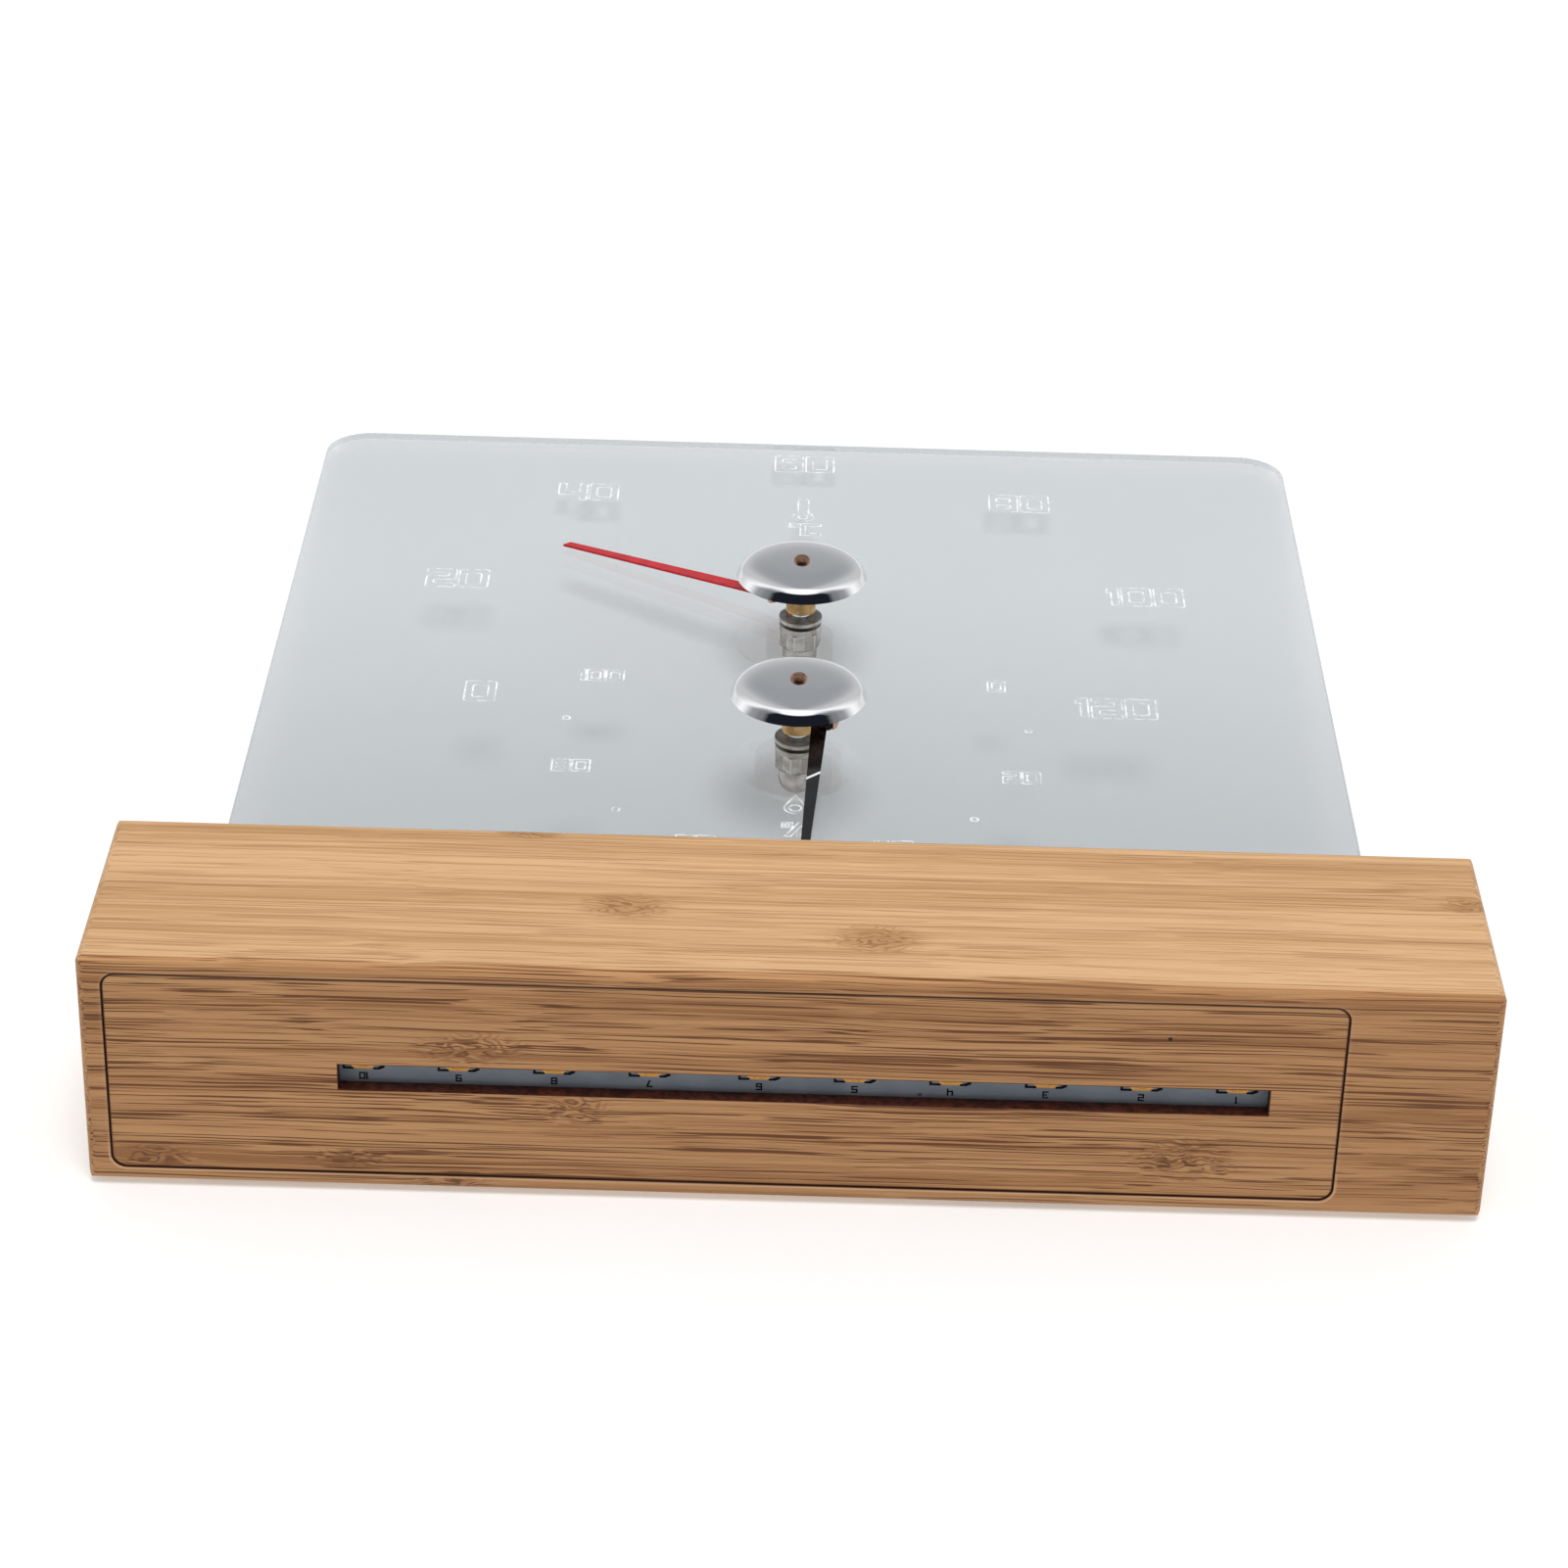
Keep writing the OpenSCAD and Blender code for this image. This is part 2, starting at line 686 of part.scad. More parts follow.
// The dome's sheet, with a flat seat round the shaft's neck
module dome() {
  inner = dome_curve(dome_r - dome_t, dome_h - dome_t);
  translate([0, 0, rim_rise]) difference() {
    rotate_extrude() polygon(concat(
      dome_curve(dome_r, dome_h),
      [for (i = [dome_steps:-1:0]) inner[i]]
    ));
    translate([0, 0, -past])
      cylinder(r = shaft_r - shaft_neck + fit_play, h = dome_h + 2 * past);
  }
}

// A washer behind the plate, at a depth behind the plate's back face
module back_washer(depth, thick, r) {
  translate([0, 0, -plate_t - depth - thick]) ring(r, stud_r + fit_play, thick);
}

// A cap nut: six chamfered sides, a round end and a blind hole
module cap_nut() {
  corner_r = nut_flats / 2 / cos(30);
  hole = stud_in_nut + hole_past_screw;
  translate([0, 0, -nut_foot]) mirror([0, 0, 1]) difference() {
    union() {
      intersection() {
        rotate([0, 0, nut_turn]) cylinder(r = corner_r, h = nut_h, $fn = 6);
        rotate_extrude() polygon([
          [0, 0], [nut_flats / 2, 0], [corner_r, nut_chamfer], [corner_r, nut_h - nut_chamfer],
          [nut_flats / 2, nut_h], [0, nut_h]
        ]);
      }
      cylinder(r = nut_cap_r, h = nut_h + nut_cap_len - nut_cap_r);
      translate([0, 0, nut_h + nut_cap_len - nut_cap_r]) sphere(nut_cap_r);
    }
    translate([0, 0, -nut_cap_r]) cylinder(r = stud_r + fit_play, h = nut_cap_r + hole);
  }
}

module thermo_stud() { color("silver") at_axis(thermo_rise) stud(); }
module thermo_collar() { color("goldenrod") at_axis(thermo_rise) collar(); }
module thermo_shaft() { color("sienna") at_axis(thermo_rise) shaft(); }
module thermo_bush() { color("goldenrod") at_axis(thermo_rise) bush(); }
module thermo_pointer() {
  color("crimson") at_axis(thermo_rise) rotate([0, 0, -thermo_rest])
    pointer(thermo_pointer_len, thermo_pointer_aside, thermo_coil_r);
}
module thermo_coil() {
  color("peru") at_axis(thermo_rise) rotate([0, 0, -thermo_rest])
    coil(thermo_turns, thermo_coil_r);
}
module thermo_arbor() { color("goldenrod") at_axis(thermo_rise) arbor(); }
module thermo_dome() { color("gainsboro") at_axis(thermo_rise) dome(); }
module thermo_washer() {
  color("silver") at_axis(thermo_rise) back_washer(0, washer_t, washer_r);
}
module thermo_seal() {
  color("black") at_axis(thermo_rise) back_washer(washer_t, seal_t, washer_r - seal_inset);
}
module thermo_lock_washer() {
  color("silver") at_axis(thermo_rise) back_washer(washer_t + seal_t, lock_t, washer_r - lock_inset);
}
module thermo_cap_nut() { color("silver") at_axis(thermo_rise) cap_nut(); }

module hygro_stud() { color("silver") at_axis(hygro_rise) stud(); }
module hygro_collar() { color("goldenrod") at_axis(hygro_rise) collar(); }
module hygro_shaft() { color("sienna") at_axis(hygro_rise) shaft(); }
module hygro_bush() { color("goldenrod") at_axis(hygro_rise) bush(); }
module hygro_pointer() {
  color("black") at_axis(hygro_rise) rotate([0, 0, -hygro_rest])
    pointer(hygro_pointer_len, hygro_pointer_aside, hygro_coil_r);
}
module hygro_coil() {
  color("peru") at_axis(hygro_rise) rotate([0, 0, -hygro_rest])
    coil(hygro_turns, hygro_coil_r);
}
module hygro_arbor() { color("goldenrod") at_axis(hygro_rise) arbor(); }
module hygro_dome() { color("gainsboro") at_axis(hygro_rise) dome(); }
module hygro_washer() {
  color("silver") at_axis(hygro_rise) back_washer(0, washer_t, washer_r);
}
module hygro_seal() {
  color("black") at_axis(hygro_rise) back_washer(washer_t, seal_t, washer_r - seal_inset);
}
module hygro_lock_washer() {
  color("silver") at_axis(hygro_rise) back_washer(washer_t + seal_t, lock_t, washer_r - lock_inset);
}
module hygro_cap_nut() { color("silver") at_axis(hygro_rise) cap_nut(); }

bamboo_bar();
bottom_cover();
led_board();
leds();
board_resistors();
wire_terminal();
board_screws();
cable_grommet();
acrylic_plate();
plate_screws();
hanger_plates();
hanger_screws();
thermo_stud();
thermo_collar();
thermo_shaft();
thermo_bush();
thermo_pointer();
thermo_coil();
thermo_arbor();
thermo_dome();
thermo_washer();
thermo_seal();
thermo_lock_washer();
thermo_cap_nut();
hygro_stud();
hygro_collar();
hygro_shaft();
hygro_bush();
hygro_pointer();
hygro_coil();
hygro_arbor();
hygro_dome();
hygro_washer();
hygro_seal();
hygro_lock_washer();
hygro_cap_nut();
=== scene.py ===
import math

import bpy
from mathutils import Matrix, Vector
from mathutils.geometry import tessellate_polygon


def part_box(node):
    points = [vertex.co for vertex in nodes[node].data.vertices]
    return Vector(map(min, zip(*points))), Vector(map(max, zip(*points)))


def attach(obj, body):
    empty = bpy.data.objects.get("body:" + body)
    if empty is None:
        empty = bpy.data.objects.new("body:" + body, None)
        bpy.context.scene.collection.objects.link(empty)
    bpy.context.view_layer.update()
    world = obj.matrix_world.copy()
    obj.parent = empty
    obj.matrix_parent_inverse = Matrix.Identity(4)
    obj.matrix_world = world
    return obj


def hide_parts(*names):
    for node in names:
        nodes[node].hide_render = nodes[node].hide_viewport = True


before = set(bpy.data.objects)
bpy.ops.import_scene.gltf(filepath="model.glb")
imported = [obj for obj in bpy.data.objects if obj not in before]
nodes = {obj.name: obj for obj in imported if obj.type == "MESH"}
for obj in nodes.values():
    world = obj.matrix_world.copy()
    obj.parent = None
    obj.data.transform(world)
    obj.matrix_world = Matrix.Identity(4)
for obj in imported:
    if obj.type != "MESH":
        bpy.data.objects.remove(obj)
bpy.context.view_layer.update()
MM = 0.001


# Bamboo bar
# The bar is laminated bamboo with its grain along the bar, and the bottom lamination comes from
# darker cane than the front. It is milled hollow from below, and its edges are sanded round.

def feed(tree, socket, value):
    """Links another node's output to a socket, or gives the socket a plain value."""
    if isinstance(value, bpy.types.NodeSocket):
        tree.links.new(value, socket)
    else:
        socket.default_value = value


def put(tree, kind, inputs=None, **settings):
    """Adds a shader node; inputs are numbers, colours or other nodes' output sockets."""
    node = tree.nodes.new(kind)
    for key, value in settings.items():
        setattr(node, key, value)
    for key, value in (inputs or {}).items():
        feed(tree, node.inputs[key], value)
    return node


def calc(tree, operation, *values):
    """A Math node's result."""
    return put(tree, "ShaderNodeMath", dict(enumerate(values)), operation=operation).outputs[0]


def vector_calc(tree, operation, *values):
    """A Vector Math node's result: a vector, or a number for the three kinds that measure."""
    node = put(tree, "ShaderNodeVectorMath", dict(enumerate(values)), operation=operation)
    return node.outputs["Value" if operation in ("LENGTH", "DISTANCE", "DOT_PRODUCT") else "Vector"]


def blend_colours(tree, share, first, second):
    """Goes from the first colour to the second by that share."""
    node = put(tree, "ShaderNodeMix", data_type="RGBA")
    for index, value in ((0, share), (6, first), (7, second)):
        feed(tree, node.inputs[index], value)
    return node.outputs[2]


def noise(tree, place, scale, detail=2.0, rough=0.5):
    """A Noise node's value."""
    return put(tree, "ShaderNodeTexNoise", {
        "Vector": place, "Scale": scale, "Detail": detail, "Roughness": rough}).outputs["Fac"]


def object_place(tree):
    """The place on a piece, in metres of the shared frame."""
    return put(tree, "ShaderNodeTexCoord").outputs["Object"]


def split(tree, vector):
    """The three numbers of a vector, named X, Y and Z."""
    return put(tree, "ShaderNodeSeparateXYZ", {0: vector}).outputs


def ramp(tree, value, low, high, start=0.0, end=1.0):
    """Turns the stretch from low to high into start to end, smoothly."""
    return put(
        tree, "ShaderNodeMapRange", {0: value, 1: low, 2: high, 3: start, 4: end},
        interpolation_type="SMOOTHSTEP").outputs[0]


def effect(name, inputs, outputs):
    """A shader node group with named sockets: returns its tree and its input and output nodes."""
    tree = bpy.data.node_groups.new(name, "ShaderNodeTree")
    for direction, sockets in (("INPUT", inputs), ("OUTPUT", outputs)):
        for socket_name, (kind, value) in sockets.items():
            socket = tree.interface.new_socket(
                name=socket_name, in_out=direction, socket_type="NodeSocket" + kind)
            if value is not None:
                socket.default_value = value
    return tree, tree.nodes.new("NodeGroupInput"), tree.nodes.new("NodeGroupOutput")


def use(tree, group, inputs):
    """Places a node group in a material."""
    return put(tree, "ShaderNodeGroup", inputs, node_tree=group)


def finish_material(name, **fixed):
    """A new material with its shader; fixed values go on the shader's own sockets."""
    made = bpy.data.materials.new(name)
    made.use_nodes = True
    shader = made.node_tree.nodes["Principled BSDF"]
    for key, value in fixed.items():
        shader.inputs[key.replace("_", " ")].default_value = value
    return made, made.node_tree, shader


def wire(tree, node, **values):
    """Links values to a node's sockets of those names."""
    for key, value in values.items():
        tree.links.new(value, node.inputs[key.replace("_", " ")])


def emboss(tree, shader, height, strength, distance):
    """Gives a material its fine relief."""
    relief = put(tree, "ShaderNodeBump", {"Height": height, "Strength": strength, "Distance": distance})
    wire(tree, shader, Normal=relief.outputs["Normal"])


def dress(piece, made):
    """Gives a piece one material."""
    piece.data.materials.clear()
    piece.data.materials.append(made)


# Growth rings of the cane: middle, and half its length and height, in millimetres
growth_rings = [
    ((-29.7, -23.5, 22.5), (8.0, 6.0, 4.2)),
    ((15.0, -23.5, 13.7), (8.5, 6.0, 4.6)),
    ((-48.9, -23.5, 47.0), (6.0, 4.0, 1.6)),
    ((121.9, -23.5, 30.9), (5.0, 6.0, 3.0)),
    ((-56.1, -6.6, 0.0), (11.0, 3.4, 3.0)),
    ((-38.0, 5.6, 0.0), (6.5, 3.6, 3.0)),
    ((71.0, 12.6, 0.0), (9.5, 4.6, 3.0)),
    ((-60.0, 21.6, 0.0), (7.0, 2.2, 3.0)),
    ((-112.6, 18.0, 0.0), (7.0, 2.6, 3.0)),
    ((-78.0, 17.2, 0.0), (8.0, 1.8, 3.0)),
    ((96.0, 23.5, 20.0), (8.0, 6.0, 4.0)),
    ((-20.0, 23.5, 33.0), (9.0, 6.0, 4.6)),
    ((40.0, -10.0, 49.0), (8.0, 3.6, 6.0)),
]

tree, grain_in, grain_out = effect(
    "bamboo grain",
    {
        "Place": ("Vector", None),
        "Shift": ("Vector", (0, 0, 0)),
        "Pale": ("Color", (0.8, 0.55, 0.33, 1)),
        "Deep": ("Color", (0.55, 0.32, 0.16, 1)),
        "Dash": ("Color", (0.24, 0.09, 0.03, 1)),
        "Dashes": ("Float", 1.0),
        "Rings": ("Float", 0.3),
    },
    {"Colour": ("Color", None), "Roughness": ("Float", None), "Height": ("Float", None)},
)
bamboo_grain = tree


def streaks(place, along, across, detail=2.0, rough=0.5, shift=0.0):
    """Noise drawn out along the bar: along and across are the size of one streak in millimetres."""
    scaled = vector_calc(
        bamboo_grain, "MULTIPLY_ADD", place, (1 / along, 1 / across, 1 / across), (shift,) * 3)
    return noise(bamboo_grain, scaled, 1.0, detail, rough)


raw_place = vector_calc(tree, "MULTIPLY", grain_in.outputs["Place"], (1 / MM,) * 3)
ring_mask = 0.0
for middle, half_size in growth_rings:
    offset = vector_calc(tree, "SUBTRACT", raw_place, middle)
    reach = vector_calc(tree, "LENGTH", vector_calc(tree, "DIVIDE", offset, half_size))
    ring_mask = calc(tree, "MAXIMUM", ring_mask, ramp(tree, reach, 1.35, 0.2))


def drift(cell, detail, amount):
    """A vector that wanders by that amount, in cells of that size, in millimetres."""
    cells = put(tree, "ShaderNodeTexNoise", {
        "Vector": vector_calc(tree, "MULTIPLY", raw_place, [1 / size for size in cell]),
        "Scale": 1.0, "Detail": detail}).outputs["Color"]
    return vector_calc(tree, "MULTIPLY", vector_calc(tree, "SUBTRACT", cells, (0.5,) * 3), amount)


# The fibres wander a little everywhere, and curl round the growth rings
wander = drift((70, 14, 14), 2.0, (0.0, 2.4, 2.4))
curl = vector_calc(tree, "SCALE", drift((5.0, 2.6, 2.6), 1.0, (3.4, 2.4, 2.4)))
tree.links.new(ring_mask, curl.node.inputs["Scale"])
place = vector_calc(
    tree, "ADD", vector_calc(tree, "ADD", raw_place, wander),
    vector_calc(tree, "ADD", curl, grain_in.outputs["Shift"]))

broad = streaks(place, 300, 8.0, detail=1.0)
strips = streaks(place, 150, 1.3, detail=2.0, shift=7.3)
fibres = streaks(place, 110, 0.36, detail=4.0, rough=0.72, shift=3.1)


def cut_bundles(place):
    """Thin dark lines where a bundle of fibres is cut along its length."""
    line = streaks(place, 52, 0.34, detail=1.0, rough=0.35, shift=11.7)
    zone = streaks(place, 90, 2.6, detail=2.0, shift=19.1)
    level = calc(bamboo_grain, "MULTIPLY_ADD", calc(bamboo_grain, "SUBTRACT", zone, 0.5), 0.38, line)
    return ramp(bamboo_grain, level, 0.575, 0.635)


# Round a growth ring the fibres run in nested curved lines
swirl = noise(tree, vector_calc(tree, "MULTIPLY", place, (1 / 9.0, 1 / 2.6, 1 / 2.6)), 1.0, 0.5)
swirl = calc(tree, "FRACT", calc(tree, "MULTIPLY", swirl, 10.0))
swirl = calc(tree, "ABSOLUTE", calc(tree, "SUBTRACT", swirl, 0.5))

tone = calc(tree, "ADD", calc(tree, "MULTIPLY", broad, 1.2), -0.60)
tone = calc(tree, "MULTIPLY_ADD", strips, 1.0, tone)
tone = calc(tree, "MULTIPLY_ADD", calc(tree, "SUBTRACT", fibres, 0.5), 1.6, tone)
tone = calc(tree, "SUBTRACT", tone, calc(tree, "MULTIPLY", ring_mask, grain_in.outputs["Rings"]))
wood = blend_colours(tree, ramp(tree, tone, 0.10, 0.80), grain_in.outputs["Deep"], grain_in.outputs["Pale"])

# A cut bundle shows as a dark line, with a painted highlight on one side of it where its lip would catch the
# light
core = cut_bundles(place)
lip_highlight = cut_bundles(vector_calc(tree, "ADD", place, (0.0, -0.30, -0.30)))
lip_highlight = calc(tree, "MULTIPLY", calc(tree, "SUBTRACT", lip_highlight, core), 0.7)
swirl_lines = calc(tree, "MULTIPLY", ramp(tree, swirl, 0.26, 0.10), ring_mask)
core = calc(tree, "MULTIPLY", core, grain_in.outputs["Dashes"])
core = calc(tree, "MAXIMUM", core, calc(tree, "MULTIPLY", swirl_lines, 0.75))
lip_highlight = calc(tree, "MAXIMUM", calc(tree, "MULTIPLY", lip_highlight, grain_in.outputs["Dashes"]), 0.0)
wood = blend_colours(tree, lip_highlight, wood, grain_in.outputs["Pale"])
wood = blend_colours(tree, core, wood, grain_in.outputs["Dash"])

wire(tree, grain_out, Colour=wood, Roughness=ramp(tree, fibres, 0.25, 0.75, 0.62, 0.5),
     Height=calc(tree, "MULTIPLY_ADD", core, -1.0, calc(tree, "MULTIPLY", fibres, 0.8)))

bar_low, bar_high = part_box("bamboo_bar")
bamboo, tree, shader = finish_material("oiled bamboo", Specular_IOR_Level=0.35)
place = object_place(tree)
height_on_bar = split(tree, place)["Z"]
# The lamination at the bottom is darker and redder than the rest
bottom_lamination = ramp(tree, height_on_bar, 1.6 * MM, 1.0 * MM)
bar_grain = use(tree, bamboo_grain, {
    "Place": place,
    "Pale": blend_colours(tree, bottom_lamination, (0.74, 0.455, 0.236, 1), (0.575, 0.30, 0.130, 1)),
    "Deep": blend_colours(tree, bottom_lamination, (0.50, 0.275, 0.118, 1), (0.34, 0.152, 0.056, 1)),
    "Dash": blend_colours(tree, bottom_lamination, (0.29, 0.122, 0.040, 1), (0.15, 0.05, 0.016, 1)),
    "Dashes": ramp(tree, height_on_bar, 1.0 * MM, 4.0 * MM, 0.9, 0.42),
    "Rings": ramp(tree, height_on_bar, 1.0 * MM, 4.0 * MM, 0.12, 0.42),
})
# The sawn ends show the bundles of fibres as small dark dots
at_end = split(tree, vector_calc(tree, "ABSOLUTE", place))["X"]
at_end = ramp(tree, at_end, bar_high.x - 0.4 * MM, bar_high.x - 0.1 * MM)
end_place = vector_calc(tree, "MULTIPLY", place, (0.0, 1 / (1.5 * MM), 1 / (0.9 * MM)))
bundles = put(tree, "ShaderNodeTexVoronoi", {
    "Vector": end_place, "Scale": 1.0, "Randomness": 0.8}).outputs["Distance"]
laminations = noise(
    tree, vector_calc(tree, "MULTIPLY", place, (0.0, 1 / (22 * MM), 1 / (5 * MM))), 1.0, 3.0)
end_colour = blend_colours(
    tree, ramp(tree, laminations, 0.35, 0.65), (0.60, 0.34, 0.155, 1), (0.72, 0.43, 0.215, 1))
end_colour = blend_colours(
    tree, calc(tree, "MULTIPLY", ramp(tree, bundles, 0.34, 0.18), 0.7), end_colour, (0.30, 0.13, 0.05, 1))
# The rounded edges are painted paler: a painted highlight along them
edge_highlight, edge_highlight_in, edge_highlight_out = effect(
    "painted edge highlight",
    {"Place": ("Vector", None), "Middle": ("Vector", (0, 0, 0)), "Half size": ("Vector", (1, 1, 1)),
     "Reach": ("Float", 0.001)},
    {"Mask": ("Float", None)},
)
inside = vector_calc(
    edge_highlight, "SUBTRACT", edge_highlight_in.outputs["Half size"],
    vector_calc(edge_highlight, "ABSOLUTE", vector_calc(
        edge_highlight, "SUBTRACT", edge_highlight_in.outputs["Place"], edge_highlight_in.outputs["Middle"])))
from_side = split(edge_highlight, inside)
gaps = [from_side[axis] for axis in "XYZ"]
first_pair, second_pair, third_pair = [
    calc(edge_highlight, "MAXIMUM", gaps[a], gaps[b]) for a, b in ((0, 1), (1, 2), (0, 2))]
second_nearest = calc(edge_highlight, "MINIMUM", calc(edge_highlight, "MINIMUM", first_pair, second_pair), third_pair)
wire(edge_highlight, edge_highlight_out, Mask=ramp(
    edge_highlight, calc(edge_highlight, "DIVIDE", second_nearest, edge_highlight_in.outputs["Reach"]), 1.0, 0.2))
edge = use(tree, edge_highlight, {
    "Place": place, "Middle": (bar_low + bar_high) / 2, "Half size": (bar_high - bar_low) / 2,
    "Reach": 0.9 * MM})
colour = blend_colours(tree, at_end, bar_grain.outputs["Colour"], end_colour)
colour = blend_colours(
    tree, calc(tree, "MULTIPLY", edge.outputs["Mask"], 0.35), colour, (0.78, 0.50, 0.27, 1))
# The rebate for the cover was cut by laser, and its edge is burnt
cover_low, cover_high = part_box("bottom_cover")
cover_middle, cover_half = (cover_low + cover_high) / 2, (cover_high - cover_low) / 2
cover_corner = 2.5 * MM
cover_outline, outline_in, outline_out = effect(
    "cover outline",
    {"Place": ("Vector", None)},
    {"Distance": ("Float", None)},
)
beyond = vector_calc(
    cover_outline, "SUBTRACT",
    vector_calc(cover_outline, "ABSOLUTE", vector_calc(
        cover_outline, "SUBTRACT", outline_in.outputs["Place"], cover_middle)),
    cover_half - Vector((cover_corner,) * 3))
beyond = vector_calc(cover_outline, "MULTIPLY", beyond, (1.0, 1.0, 0.0))
beyond_sides = split(cover_outline, beyond)
within = calc(
    cover_outline, "MINIMUM",
    calc(cover_outline, "MAXIMUM", beyond_sides["X"], beyond_sides["Y"]), 0.0)
beyond = vector_calc(
    cover_outline, "LENGTH", vector_calc(cover_outline, "MAXIMUM", beyond, (0.0, 0.0, 0.0)))
wire(cover_outline, outline_out, Distance=calc(
    cover_outline, "SUBTRACT", calc(cover_outline, "ADD", beyond, within), cover_corner))
rebate_gap = use(tree, cover_outline, {"Place": place}).outputs["Distance"]
near_bottom = ramp(tree, height_on_bar, 3.4 * MM, 3.1 * MM)
# A painted highlight runs beside the rebate's outline, stronger towards the bar's back
rebate_highlight = calc(
    tree, "MULTIPLY",
    ramp(tree, rebate_gap, 0.95 * MM, 0.6 * MM), ramp(tree, height_on_bar, 0.6 * MM, 0.3 * MM))
highlight_towards_back = ramp(tree, split(tree, place)["Y"], 12 * MM, 20 * MM, 0.1, 0.6)
colour = blend_colours(tree, calc(tree, "MULTIPLY", rebate_highlight, highlight_towards_back), colour, (0.80, 0.50, 0.28, 1))
rebate_edge = calc(tree, "MULTIPLY", ramp(tree, rebate_gap, 0.40 * MM, 0.26 * MM), near_bottom)
colour = blend_colours(tree, rebate_edge, colour, (0.05, 0.016, 0.008, 1))
wire(tree, shader, Base_Color=colour, Roughness=bar_grain.outputs["Roughness"])
emboss(tree, shader, bar_grain.outputs["Height"], 0.35, 0.25 * MM)
dress(nodes["bamboo_bar"], bamboo)


# Bottom cover
# The cover is a thin bamboo board, glued into a rebate in the bar's bottom.
# Its slot and its outline were cut by laser, which leaves the cut walls burnt dark red-brown.

slot_left, slot_right, slot_half = -79.6 * MM, 85.2 * MM, 2.65 * MM
cover_bamboo, tree, shader = finish_material("bamboo cover", Specular_IOR_Level=0.35)
place = object_place(tree)
cover_grain = use(tree, bamboo_grain, {
    "Place": place,
    "Shift": (0.0, 0.0, 31.0),
    "Pale": (0.60, 0.318, 0.140, 1),
    "Deep": (0.345, 0.153, 0.056, 1),
    "Dash": (0.15, 0.05, 0.016, 1),
    "Dashes": 0.95,
    "Rings": 0.12,
})
middle = Vector(((slot_left + slot_right) / 2, 0, 0))
half = Vector(((slot_right - slot_left) / 2, slot_half, 0))
from_slot = split(tree, vector_calc(
    tree, "SUBTRACT", vector_calc(tree, "ABSOLUTE", vector_calc(tree, "SUBTRACT", place, middle)), half))
slot_gap = calc(tree, "MAXIMUM", from_slot["X"], from_slot["Y"])
burnt = ramp(tree, slot_gap, 0.22 * MM, 0.03 * MM)
cover_edge = ramp(
    tree, use(tree, cover_outline, {"Place": place}).outputs["Distance"], -0.26 * MM, -0.12 * MM)
scorch = noise(tree, place, 900.0, 3.0)
burnt_colour = blend_colours(
    tree, ramp(tree, scorch, 0.3, 0.7), (0.030, 0.006, 0.003, 1), (0.085, 0.020, 0.010, 1))
colour = blend_colours(tree, burnt, cover_grain.outputs["Colour"], burnt_colour)
colour = blend_colours(tree, calc(tree, "MULTIPLY", cover_edge, 0.9), colour, (0.10, 0.034, 0.014, 1))
# One small dark speck of a pore beside the slot
pore = vector_calc(tree, "DISTANCE", place, (66.8 * MM, -12.9 * MM, 0.2 * MM))
colour = blend_colours(tree, ramp(tree, pore, 0.55 * MM, 0.3 * MM), colour, (0.03, 0.015, 0.01, 1))
wire(tree, shader, Base_Color=colour, Roughness=cover_grain.outputs["Roughness"])
emboss(tree, shader, cover_grain.outputs["Height"], 0.45, 0.3 * MM)
dress(nodes["bottom_cover"], cover_bamboo)


# Lamp board
# The lamp board is a strip of glass fibre laminate with white solder mask, screwed up against two
# ledges in the bar. Its black print marks each lamp with corner lines and a plain number.

print_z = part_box("led_board")[0].z - 0.02 * MM
shaded_board_mask, tree, shader = finish_material("white solder mask", Specular_IOR_Level=0.5)
place = object_place(tree)
mottle = noise(tree, place, 160.0, 4.0)
vias = put(tree, "ShaderNodeTexVoronoi", {
    "Vector": place, "Scale": 170.0, "Randomness": 1.0}).outputs["Distance"]
# The board's white mask is coloured a dark blue-grey: painted shade, for the slot it lies behind
colour = blend_colours(tree, ramp(tree, mottle, 0.3, 0.7), (0.33, 0.38, 0.45, 1), (0.40, 0.45, 0.52, 1))
colour = blend_colours(tree, ramp(tree, vias, 0.09, 0.04), colour, (0.16, 0.17, 0.18, 1))
wire(tree, shader, Base_Color=colour, Roughness=ramp(tree, mottle, 0.3, 0.7, 0.32, 0.45))
dress(nodes["led_board"], shaded_board_mask)


def speckled(name, first, second, scale, detail, smooth, rough, **fixed):
    """A plain material whose colour and roughness vary in fine specks."""
    made, tree, shader = finish_material(name, **fixed)
    speck = noise(tree, object_place(tree), scale, detail)
    wire(tree, shader, Base_Color=blend_colours(tree, speck, (*first, 1), (*second, 1)),
         Roughness=ramp(tree, speck, 0.3, 0.7, smooth, rough))
    return made


